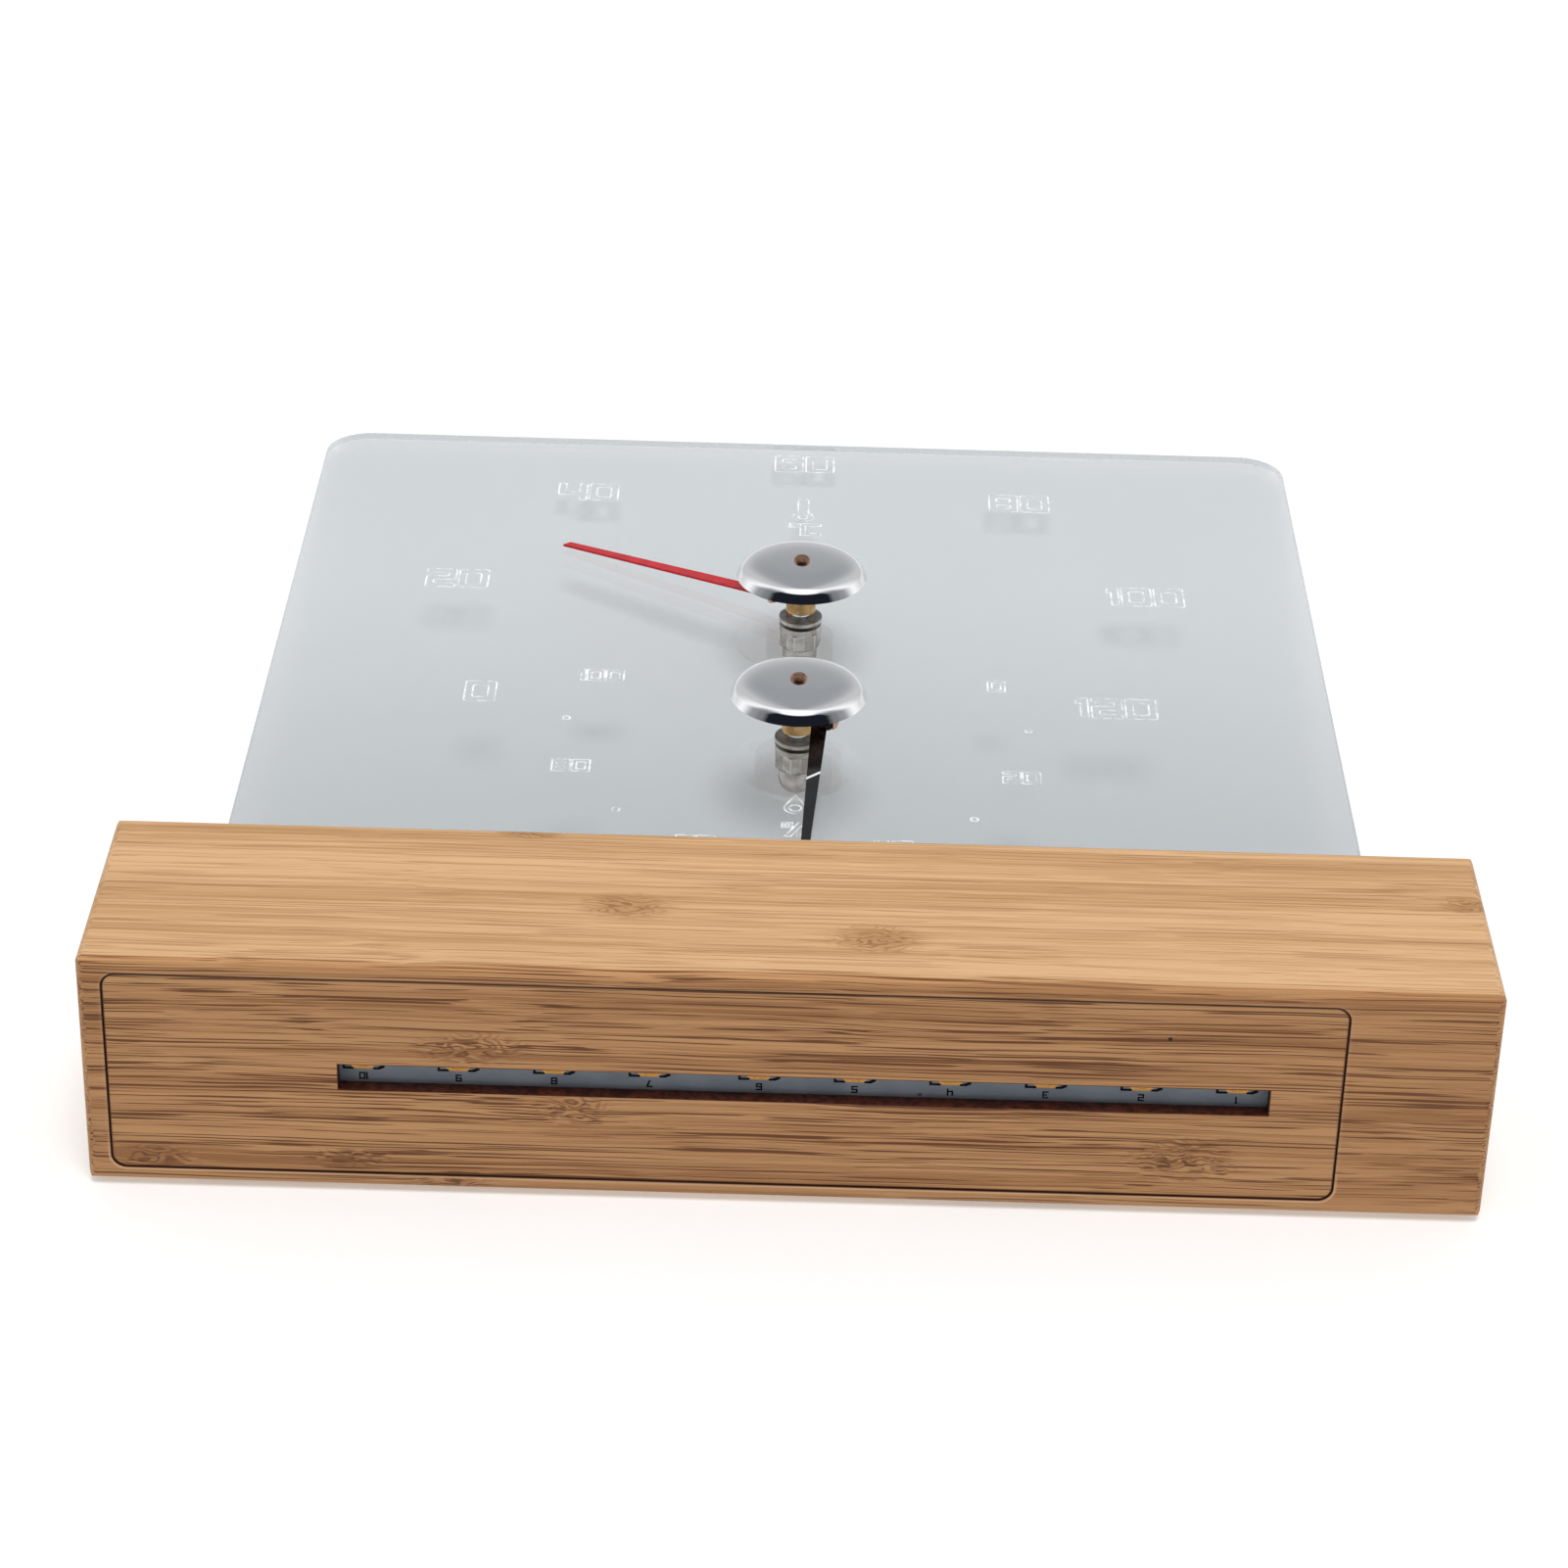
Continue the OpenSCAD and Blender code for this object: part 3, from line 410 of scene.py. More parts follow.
# Numbers are drawn on a grid four wide and five high, in strokes one wide: outlines, then holes
number_shapes = {
    "0": [[(0, 0), (4, 0), (4, 5), (0, 5)], [(1, 1), (3, 1), (3, 4), (1, 4)]],
    "1": [[(0.6, 0), (1.6, 0), (1.6, 5), (0.8, 5), (0, 4.4), (0, 3.4), (0.6, 3.8)]],
    "2": [[(0, 0), (4, 0), (4, 1), (1, 1), (1, 2), (4, 2), (4, 5), (0, 5), (0, 4), (3, 4), (3, 3), (0, 3)]],
    "3": [[(0, 0), (4, 0), (4, 5), (0, 5), (0, 4), (3, 4), (3, 3), (1, 3), (1, 2), (3, 2), (3, 1), (0, 1)]],
    "4": [[(3, 0), (4, 0), (4, 5), (3, 5), (3, 2.5), (1, 2.5), (1, 5), (0, 5), (0, 1.5), (3, 1.5)]],
    "5": [[(0, 0), (4, 0), (4, 3), (1, 3), (1, 4), (4, 4), (4, 5), (0, 5), (0, 2), (3, 2), (3, 1), (0, 1)]],
    "6": [
        [(0, 0), (4, 0), (4, 3), (1, 3), (1, 4), (4, 4), (4, 5), (0, 5)], [(1, 1), (3, 1), (3, 2), (1, 2)]],
    "7": [[(1.2, 0), (2.4, 0), (4, 4), (4, 5), (0, 5), (0, 4), (2.8, 4)]],
    "8": [
        [(0, 0), (4, 0), (4, 5), (0, 5)], [(1, 1), (3, 1), (3, 2), (1, 2)], [(1, 3), (3, 3), (3, 4), (1, 4)]],
    "9": [
        [(0, 0), (4, 0), (4, 5), (0, 5), (0, 2), (3, 2), (3, 1), (0, 1)], [(1, 3), (3, 3), (3, 4), (1, 4)]],
}
number_high, number_gap, number_narrow = 5.0, 0.43, 0.94


def set_out(text, high, shapes=number_shapes):
    """The outlines of a number of that height, centred on the origin, one list for each digit."""
    scale = high / number_high
    widths = [max(x for outline in shapes[digit] for x, y in outline) for digit in text]
    left = -(sum(widths) + number_gap * (len(text) - 1)) / 2
    placed = []
    for digit, width in zip(text, widths):
        placed.append([
            [((left + x) * scale * number_narrow, (y - number_high / 2) * scale) for x, y in outline]
            for outline in shapes[digit]])
        left += width + number_gap
    return placed


def mesh_piece(name, points, faces, smooth=False):
    """A piece made of points in metres and faces."""
    mesh = bpy.data.meshes.new(name)
    mesh.from_pydata(points, [], faces)
    if smooth:
        mesh.shade_smooth()
    made = bpy.data.objects.new(name, mesh)
    bpy.context.scene.collection.objects.link(made)
    return made


def flat_piece(name, faces, to_place):
    """A flat piece of filled outlines; to_place turns a point of the drawing into one of the frame."""
    points, polygons = [], []
    for outlines in faces:
        flat = [[Vector((x, y, 0)) for x, y in outline] for outline in outlines]
        start = len(points)
        points += [to_place(x, y) for outline in outlines for x, y in outline]
        polygons += [[start + i for i in corner] for corner in tessellate_polygon(flat)]
    return mesh_piece(name, points, polygons)


lamp_middles = [-75.5, -58.6, -41.6, -24.6, -5.1, 11.9, 28.9, 45.9, 62.9, 79.9]
lamp_y = -1.85
bracket_x, bracket_y, print_w = 3.75, 3.0, 0.46
bracket_end, bracket_inner_x = 1.3, 1.7
mark_high, mark_y = 1.5, 4.35
marks = []
for count, lamp_x in enumerate(lamp_middles):
    for side, slant in ((-1, 0.0), (1, 0.9)):
        # One end of each lamp is square in the print, and the other is cut off at a slant
        outer, inner = lamp_x + side * bracket_x, lamp_x + side * bracket_inner_x
        low = lamp_y + bracket_y
        marks.append([[
            (outer, low - bracket_end), (outer - side * print_w, low - bracket_end),
            (outer - side * print_w, low - 0.5 * slant - print_w),
            (outer - side * (slant + print_w), low - print_w), (inner, low - print_w),
            (inner, low), (outer - side * slant, low), (outer, low - 0.5 * slant)]])
    # The numbers read from the board's back edge, so they stand on their heads in front
    for digit in set_out(str(len(lamp_middles) - count), mark_high):
        marks.append([[(lamp_x - x, lamp_y + mark_y + y) for x, y in outline] for outline in digit])
board_print = flat_piece("board_print", marks, lambda x, y: Vector((x * MM, y * MM, print_z)))
dress(board_print, speckled(
    "black board print", (0.002, 0.002, 0.003), (0.012, 0.012, 0.014), 2500.0, 2.0, 0.4, 0.6,
    Specular_IOR_Level=0.2))
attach(board_print, "instrument")


# Lamps and chips
# Each lamp is an amber casting on a pale moulded base.
# The chips are small black blocks and the terminal is white moulding, both soldered to the board.

lamp_body, tree, shader = finish_material(
    "amber lamp", Specular_IOR_Level=0.5, Coat_Weight=0.3, Emission_Strength=0.22)
place = object_place(tree)
level = split(tree, place)["Z"]
grit = noise(tree, place, 3000.0)
lamps_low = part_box("leds")[0].z
# The amber casting stands on a pale base
window = ramp(tree, level, lamps_low + 0.6 * MM, lamps_low + 0.5 * MM)
amber = blend_colours(tree, ramp(tree, grit, 0.3, 0.7), (0.66, 0.29, 0.05, 1), (0.80, 0.42, 0.09, 1))
colour = blend_colours(tree, window, (0.88, 0.78, 0.62, 1), amber)
# The amber is given a faint glow of its own colour: painted light
wire(tree, shader, Base_Color=colour, Emission_Color=colour,
     Roughness=ramp(tree, grit, 0.3, 0.7, 0.25, 0.4))
dress(nodes["leds"], lamp_body)

dress(nodes["board_resistors"], speckled(
    "black chip", (0.01, 0.01, 0.012), (0.04, 0.04, 0.045), 2200.0, 3.0, 0.35, 0.55))
dress(nodes["wire_terminal"], speckled(
    "white moulded terminal", (0.68, 0.68, 0.65), (0.76, 0.76, 0.73), 1400.0, 3.0, 0.3, 0.42,
    Specular_IOR_Level=0.5))


# Fixings at the back
# Two pressed steel hanger plates lie flush in the bar's back, each held by two countersunk screws,
# and two long screws clamp the plate in its groove. The supply cable has a rubber grommet.

worn_metal, metal_in, metal_out = effect(
    "handled metal",
    {"Place": ("Vector", None),
     "Light": ("Color", (0.7, 0.7, 0.7, 1)), "Dull": ("Color", (0.5, 0.5, 0.5, 1)),
     "Smooth": ("Float", 0.15), "Rough": ("Float", 0.35), "Size": ("Float", 300.0)},
    {"Colour": ("Color", None), "Roughness": ("Float", None), "Height": ("Float", None)},
)
cloud = noise(worn_metal, metal_in.outputs["Place"], metal_in.outputs["Size"], 4.0)
scratch_place = vector_calc(worn_metal, "MULTIPLY", metal_in.outputs["Place"], (9.0, 1.0, 1.0))
wire(
    worn_metal, metal_out,
    Colour=blend_colours(
        worn_metal, ramp(worn_metal, cloud, 0.3, 0.7), metal_in.outputs["Light"], metal_in.outputs["Dull"]),
    Roughness=put(worn_metal, "ShaderNodeMapRange", {
        0: cloud, 1: 0.3, 2: 0.7, 3: metal_in.outputs["Smooth"], 4: metal_in.outputs["Rough"]}).outputs[0],
    Height=noise(worn_metal, scratch_place, metal_in.outputs["Size"], 5.0, 0.7))


def metal(name, light, dull, smooth, rough, size=300.0, scratch=0.02, metallic=1.0):
    """A bare metal that handling has dulled in clouds and fine scratches."""
    made, tree, shader = finish_material(name, Metallic=metallic)
    wear = use(tree, worn_metal, {
        "Place": object_place(tree),
        "Light": (*light, 1), "Dull": (*dull, 1), "Smooth": smooth, "Rough": rough, "Size": size})
    wire(tree, shader, Base_Color=wear.outputs["Colour"], Roughness=wear.outputs["Roughness"])
    emboss(tree, shader, wear.outputs["Height"], scratch, 0.05 * MM)
    return made


hanger_zinc = metal("zinc plated hanger", (0.76, 0.77, 0.79), (0.58, 0.59, 0.62), 0.26, 0.42, 180.0, 0.25)
screw_zinc = metal("zinc plated screw", (0.80, 0.79, 0.73), (0.62, 0.61, 0.56), 0.22, 0.36, 700.0, 0.12)
dress(nodes["hanger_plates"], hanger_zinc)
for name in ("hanger_screws", "plate_screws", "board_screws"):
    dress(nodes[name], screw_zinc)

black_rubber = speckled(
    "black rubber", (0.012, 0.012, 0.012), (0.04, 0.04, 0.042), 500.0, 4.0, 0.55, 0.75,
    Specular_IOR_Level=0.4)
for name in ("cable_grommet", "thermo_seal", "hygro_seal"):
    dress(nodes[name], black_rubber)


# Clear plate
# The plate is cast acrylic with polished edges, and it stands in the groove in the bar's top.
# It has a faint grey tint, and light passes through it on its way to what lies behind.

def swap_surface(tree, share, shader, other):
    """Shows another shader in a material's place, by that share."""
    surface = put(tree, "ShaderNodeMixShader", {0: share, 1: shader.outputs[0], 2: other.outputs[0]})
    tree.links.new(surface.outputs[0], tree.nodes["Material Output"].inputs["Surface"])


acrylic, tree, shader = finish_material(
    "clear cast acrylic", Transmission_Weight=1.0, IOR=1.49, Metallic=0.0)
place = object_place(tree)
haze = noise(tree, place, 22.0, 3.0)
tint = blend_colours(tree, haze, (0.745, 0.767, 0.783, 1), (0.76, 0.779, 0.793, 1))
height_on_plate = split(tree, place)["Z"]
# The plate is painted darker towards its foot: painted shade near the bar
shade_top, shade_foot = 210 * MM, 60 * MM
tint = blend_colours(
    tree, ramp(tree, height_on_plate, shade_top, shade_foot), tint, (0.585, 0.607, 0.628, 1))
wire(tree, shader, Base_Color=tint, Roughness=ramp(tree, haze, 0.3, 0.7, 0.0, 0.012))
# Light that only lights other things goes straight through
see_through = put(tree, "ShaderNodeBsdfTransparent", {0: (0.90, 0.915, 0.92, 1)})
ray = put(tree, "ShaderNodeLightPath")
passing = calc(tree, "MAXIMUM", ray.outputs["Is Shadow Ray"], ray.outputs["Is Diffuse Ray"])
swap_surface(tree, passing, shader, see_through)
dress(nodes["acrylic_plate"], acrylic)


# Engraved dials
# The numbers are engraved in the plate's back face, so the pointers pass in front of them.
# Each stroke is a shallow frosted cut, and its edges get a painted glow.

plate_low, plate_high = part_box("acrylic_plate")
cut_y, cut_edge_y = plate_high.y - 0.03 * MM, plate_high.y - 0.05 * MM
thermo_axis, hygro_axis = Vector((0, 0, 182.5)), Vector((0, 0, 129.0))

unit_shapes = {
    "o": [[(0, 3.3), (1.7, 3.3), (1.7, 5), (0, 5)], [(0.5, 3.8), (1.2, 3.8), (1.2, 4.5), (0.5, 4.5)]],
    "C": [[(0, 0), (4, 0), (4, 1), (1, 1), (1, 4), (4, 4), (4, 5), (0, 5)]],
    "%": [
        [(0.4, 0), (1.4, 0), (3.6, 5), (2.6, 5)],
        [(0, 3.1), (1.6, 3.1), (1.6, 5), (0, 5)], [(0.5, 3.6), (1.1, 3.6), (1.1, 4.5), (0.5, 4.5)],
        [(2.4, 0), (4, 0), (4, 1.9), (2.4, 1.9)], [(2.9, 0.5), (3.5, 0.5), (3.5, 1.4), (2.9, 1.4)]],
}


def arc(middle, r, start, end, steps=10):
    """Points on an arc, with angles in degrees."""
    turn = [math.radians(start + (end - start) * i / steps) for i in range(steps + 1)]
    return [(middle[0] + r * math.cos(a), middle[1] + r * math.sin(a)) for a in turn]


def worn_corners(outlines, cut):
    """Rounds every corner of an outline a little, as a small milling cutter does."""
    rounded = []
    for outline in outlines:
        line = []
        for i, point in enumerate(outline):
            here = Vector(point)
            ends = []
            for other in (Vector(outline[i - 1]), Vector(outline[(i + 1) % len(outline)])):
                side = other - here
                ends.append(here + side * min(cut / side.length, 0.4))
            line += [tuple(ends[0]), tuple(ends[0] / 4 + here / 2 + ends[1] / 4), tuple(ends[1])]
        rounded.append(line)
    return rounded


def dial_place(axis, degrees, radius):
    """A point on a dial, with degrees clockwise from the top."""
    a = math.radians(degrees)
    return axis.x + radius * math.sin(a), axis.z + radius * math.cos(a)


def moved(outlines, x, z):
    """Outlines moved to another place on the plate."""
    return [[(x + px, z + py) for px, py in outline] for outline in outlines]


engraved = []
# Each scale: its zero in degrees clockwise from the top, and degrees for each unit
thermo_zero, thermo_step = -120, 2.0
hygro_zero, hygro_step = 60, 2.4
thermo_radius, thermo_digit, thermo_cutter = 76.0, 8.5, 0.6
for reading in range(0, 121, 20):
    x, z = dial_place(thermo_axis, thermo_zero + reading * thermo_step, thermo_radius)
    engraved += [
        moved(worn_corners(digit, thermo_cutter), x, z) for digit in set_out(str(reading), thermo_digit)]
hygro_radius, hygro_digit, hygro_cutter, dot_radius = 47.6, 4.8, 0.35, 0.75
for reading in range(0, 101, 20):
    x, z = dial_place(hygro_axis, hygro_zero + reading * hygro_step, hygro_radius)
    engraved += [
        moved(worn_corners(digit, hygro_cutter), x, z) for digit in set_out(str(reading), hygro_digit)]
for reading in range(10, 100, 20):
    middle = dial_place(hygro_axis, hygro_zero + reading * hygro_step, hygro_radius)
    engraved.append([arc(middle, dot_radius, 0, 330, 11)])
celsius_x, celsius_z, celsius_high = 0.5, 224.4, 6.0
engraved += [moved(sign, celsius_x, celsius_z) for sign in set_out("oC", celsius_high, unit_shapes)]
percent_z, percent_wide, percent_high = 91.2, 1.25, 1.1
percent = [
    [((x - 2) * percent_wide, (z - 2.5) * percent_high + percent_z) for x, z in outline]
    for outline in unit_shapes["%"]]
engraved += [[percent[0]], percent[1:3], percent[3:5]]

# Two plain pictures say what the dials show: a thermometer and a drop
bulb, bulb_r, bulb_hole_r, stem_top, stem_r = (0.0, 230.8), 2.3, 1.1, (0.0, 239.2), 1.15
engraved.append([
    arc(bulb, bulb_r, 60, -240, 16) + arc(stem_top, stem_r, 180, 0, 6),
    arc(bulb, bulb_hole_r, 0, 330, 11)])
drop, drop_r, drop_hole_r = (0.0, 99.6), 2.2, 1.2
drop_point = [(-0.9, 102.9), (0.0, 104.6), (0.9, 102.9)]
engraved.append([arc(drop, drop_r, 20, -200, 14) + drop_point, arc(drop, drop_hole_r, 0, 330, 11)])

frosted_cuts = flat_piece(
    "engraved_numbers", engraved, lambda x, z: Vector((x * MM, cut_y, z * MM)))
frost, tree, shader = finish_material("frosted cut", IOR=1.49)
grit = noise(tree, object_place(tree), 2500.0)
wire(
    tree, shader, Base_Color=blend_colours(tree, grit, (0.74, 0.74, 0.745, 1), (0.86, 0.86, 0.86, 1)),
    Roughness=ramp(tree, grit, 0.3, 0.7, 0.5, 0.8), Alpha=ramp(tree, grit, 0.3, 0.7, 0.16, 0.30))
dress(frosted_cuts, frost)
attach(frosted_cuts, "instrument")


def ribbon(outline, width):
    """The two sides of a closed line of that width, as pairs of points."""
    pairs = []
    for i, point in enumerate(outline):
        here = Vector(point)
        before, after = here - Vector(outline[i - 1]), Vector(outline[(i + 1) % len(outline)]) - here
        before.normalize()
        after.normalize()
        across = Vector((before.y + after.y, -before.x - after.x))
        across.normalize()
        stretch = width / 2 / max(0.4, across.dot(Vector((before.y, -before.x))))
        pairs.append((here + across * stretch, here - across * stretch))
    return pairs


# An outline's side counts as level where it runs this many times as far sideways as upwards
edge_w, level_slope = 0.38, 1.2
points, faces, level_sides = [], [], []
for outlines in engraved:
    for outline in outlines:
        start, count = len(points), len(outline)
        for one, other in ribbon(outline, edge_w):
            points += [(one.x * MM, cut_edge_y, one.y * MM), (other.x * MM, cut_edge_y, other.y * MM)]
        for i, (x, z) in enumerate(outline):
            one, other = start + 2 * i, start + 2 * ((i + 1) % count)
            faces.append((one, one + 1, other + 1, other))
            next_x, next_z = outline[(i + 1) % count]
            level_sides.append(int(abs(next_x - x) > level_slope * abs(next_z - z)))
cut_edges = mesh_piece("engraved_edges", points, faces)


def cut_edge_finish(name, glow, clear):
    """An edge of a cut, with a painted glow that stands in for the light it catches."""
    made, tree, shader = finish_material(name, IOR=1.49, Emission_Strength=glow)
    grit = noise(tree, object_place(tree), 420.0, 3.0)
    lit = ramp(tree, grit, 0.38, 0.62)
    wire(
        tree, shader,
        Base_Color=blend_colours(tree, lit, (0.80, 0.81, 0.82, 1), (1.0, 1.0, 1.0, 1)),
        Roughness=ramp(tree, grit, 0.3, 0.7, 0.3, 0.6),
        Emission_Color=blend_colours(tree, lit, (0.35, 0.35, 0.35, 1), (1.0, 1.0, 1.0, 1)),
        Alpha=ramp(tree, grit, 0.36, 0.60, *clear))
    return made


# Upright sides of a cut get a stronger painted glow than level ones, and are less clear
dress(cut_edges, cut_edge_finish("bright cut edge", 0.42, (0.75, 1.0)))
cut_edges.data.materials.append(cut_edge_finish("dim cut edge", 0.30, (0.12, 0.75)))
for face, is_level in zip(cut_edges.data.polygons, level_sides):
    face.material_index = is_level
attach(cut_edges, "instrument")


# Studs, shafts and arbors
# Each movement sits on a threaded stud through the plate, with a turned brass collar on it.
# A fixed shaft stands in the stud, and its end is riveted over in front of the dome.

nickel = metal(
    "nickel plated steel", (0.92, 0.90, 0.86), (0.70, 0.67, 0.63), 0.08, 0.14, 160.0, 0.02, metallic=0.7)
turned_brass = metal("turned brass", (0.66, 0.43, 0.19), (0.42, 0.25, 0.10), 0.10, 0.2, 420.0, 0.08)
rivet_copper = metal("riveted shaft end", (0.50, 0.28, 0.18), (0.24, 0.12, 0.08), 0.28, 0.5, 1500.0, 0.35)
for movement in ("thermo", "hygro"):
    dress(nodes[movement + "_stud"], nickel)
    dress(nodes[movement + "_collar"], turned_brass)
    dress(nodes[movement + "_bush"], turned_brass)
    dress(nodes[movement + "_arbor"], turned_brass)
    dress(nodes[movement + "_shaft"], rivet_copper)


# Pointers
# A pointer is a thin stamped arm on a nickel plated hub, painted gloss red or gloss black.
# The hub is left bare, because the coil's end is soldered beside it.

hub_r, hub_edge = 4.62, 0.10


def off_axis(tree, place, axis):
    """The distance from a movement's axis, in metres."""
    return vector_calc(tree, "LENGTH", vector_calc(
        tree, "MULTIPLY", vector_calc(tree, "SUBTRACT", place, axis * MM), (1.0, 0.0, 1.0)))


def pointer_paint(name, paint, thin_paint, axis, coat, painted_glints=()):
    """Gloss paint on the arm, crossed by painted glints where the paint would mirror a bright light, and bare
    nickel on the hub.
    """
    made, tree, shader = finish_material(
        name, Coat_Weight=coat, Coat_Roughness=0.04, Specular_IOR_Level=0.3)
    place = object_place(tree)
    hub = ramp(tree, off_axis(tree, place, axis), hub_r * MM, (hub_r - hub_edge) * MM)
    ripple = noise(tree, place, 260.0, 3.0)
    colour = blend_colours(tree, ramp(tree, ripple, 0.3, 0.7), (*paint, 1), (*thin_paint, 1))
    colour = blend_colours(tree, hub, colour, (0.66, 0.63, 0.58, 1))
    # Each glint is a painted highlight: a pale line across the arm
    for x, z, slope, half_width in painted_glints:
        from_glint = vector_calc(tree, "SUBTRACT", place, (x * MM, 0.0, z * MM))
        on_line = vector_calc(tree, "DOT_PRODUCT", from_glint, (-slope, 0.0, 1.0))
        on_line = ramp(tree, calc(tree, "ABSOLUTE", on_line), half_width * MM, half_width * 0.7 * MM)
        colour = blend_colours(tree, on_line, colour, (0.86, 0.86, 0.87, 1))
    wire(tree, shader, Base_Color=colour, Metallic=hub,
         Roughness=ramp(tree, ripple, 0.3, 0.7, 0.16, 0.26))
    emboss(tree, shader, ripple, 0.03, 0.2 * MM)
    return made


dress(nodes["thermo_pointer"], pointer_paint(
    "gloss red paint", (0.50, 0.006, 0.014), (0.60, 0.012, 0.024), thermo_axis, 0.15))
dress(nodes["hygro_pointer"], pointer_paint(
    "gloss black paint", (0.004, 0.004, 0.005), (0.008, 0.008, 0.009), hygro_axis, 0.25,
    painted_glints=[(1.94, 104.3, 0.86, 0.50)]))


# Coils
# The upper coil is a bare strip of two metals, and the lower one is coppered strip faced with a
# film that swells in damp air. Each is wound flat and soldered at both ends.

bimetal = metal("bare bimetal strip", (0.60, 0.42, 0.30), (0.42, 0.30, 0.22), 0.22, 0.42, 900.0, 0.2)
damp_strip = metal("coppered humidity strip", (0.66, 0.40, 0.27), (0.46, 0.25, 0.16), 0.2, 0.4, 900.0, 0.2)
dress(nodes["thermo_coil"], bimetal)
dress(nodes["hygro_coil"], damp_strip)


# Domes
# Each coil is covered by a spun and mirror polished steel dome, nearly flat on top and rolled over
# at the rim. The riveted end of the shaft holds it.

dome_sheet, dome_steps, dome_sides = 0.5, 10, 128
rim_rise, plate_front = 8.15, plate_low.y / MM
# Half the dome's section: distance from its axis, and height over its rim
dome_points = [
    (1.22, 3.5), (4.0, 3.48), (7.3, 3.36), (9.8, 3.08),
    (11.5, 2.6), (12.65, 1.86), (13.3, 1.0), (13.9, 0.0)]


def smooth_line(points, steps):
    """Draws a smooth line through a few points."""
    ends = [points[0]] + points + [points[-1]]
    line = []
    for a, b, c, d in zip(ends, ends[1:], ends[2:], ends[3:]):
        for step in range(steps):
            t = step / steps
            line.append(tuple(
                0.5 * (2 * q + (r - p) * t + (2 * p - 5 * q + 4 * r - s) * t ** 2
                       + (3 * q - p - 3 * r + s) * t ** 3)
                for p, q, r, s in zip(a, b, c, d)))
    return line + [points[-1]]


mirror_chrome, tree, shader = finish_material("mirror polished steel", Metallic=1.0)
smear = noise(tree, object_place(tree), 130.0, 4.0)
wire(
    tree, shader, Base_Color=blend_colours(tree, smear, (0.80, 0.81, 0.82, 1), (0.88, 0.88, 0.885, 1)),
    Roughness=ramp(tree, smear, 0.3, 0.7, 0.03, 0.075))
# Where other metal mirrors a dome's inside, a flat painted glow stands in for the pale light under it
painted_inner_light = put(tree, "ShaderNodeEmission", {0: (0.50, 0.50, 0.49, 1)})
ray = put(tree, "ShaderNodeLightPath")
mirrored = calc(tree, "GREATER_THAN", ray.outputs["Ray Depth"], 2.5)
swap_surface(tree, mirrored, shader, painted_inner_light)
for movement, axis in (("thermo", thermo_axis), ("hygro", hygro_axis)):
    outer = smooth_line(dome_points, dome_steps)
    reach = 1 - dome_sheet / dome_points[-1][0]
    inner = [(max(r * reach, dome_points[0][0]), max(h - dome_sheet, 0.0)) for r, h in outer]
    section = outer + inner[::-1]
    points, faces = [], []
    for r, h in section:
        for side in range(dome_sides):
            a = 2 * math.pi * side / dome_sides
            points.append(Vector((
                axis.x + r * math.cos(a), plate_front - rim_rise - h, axis.z + r * math.sin(a))) * MM)
    for i in range(len(section)):
        one, other = i * dome_sides, (i + 1) % len(section) * dome_sides
        for side in range(dome_sides):
            k = (side + 1) % dome_sides
            faces.append((one + side, one + k, other + k, other + side))
    dome = mesh_piece(movement + "_polished_dome", points, faces, smooth=True)
    rim_edges = dome.modifiers.new("crisp rim", "EDGE_SPLIT")
    rim_edges.split_angle = math.radians(50)
    dress(dome, mirror_chrome)
    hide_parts(movement + "_dome")
    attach(dome, "instrument")
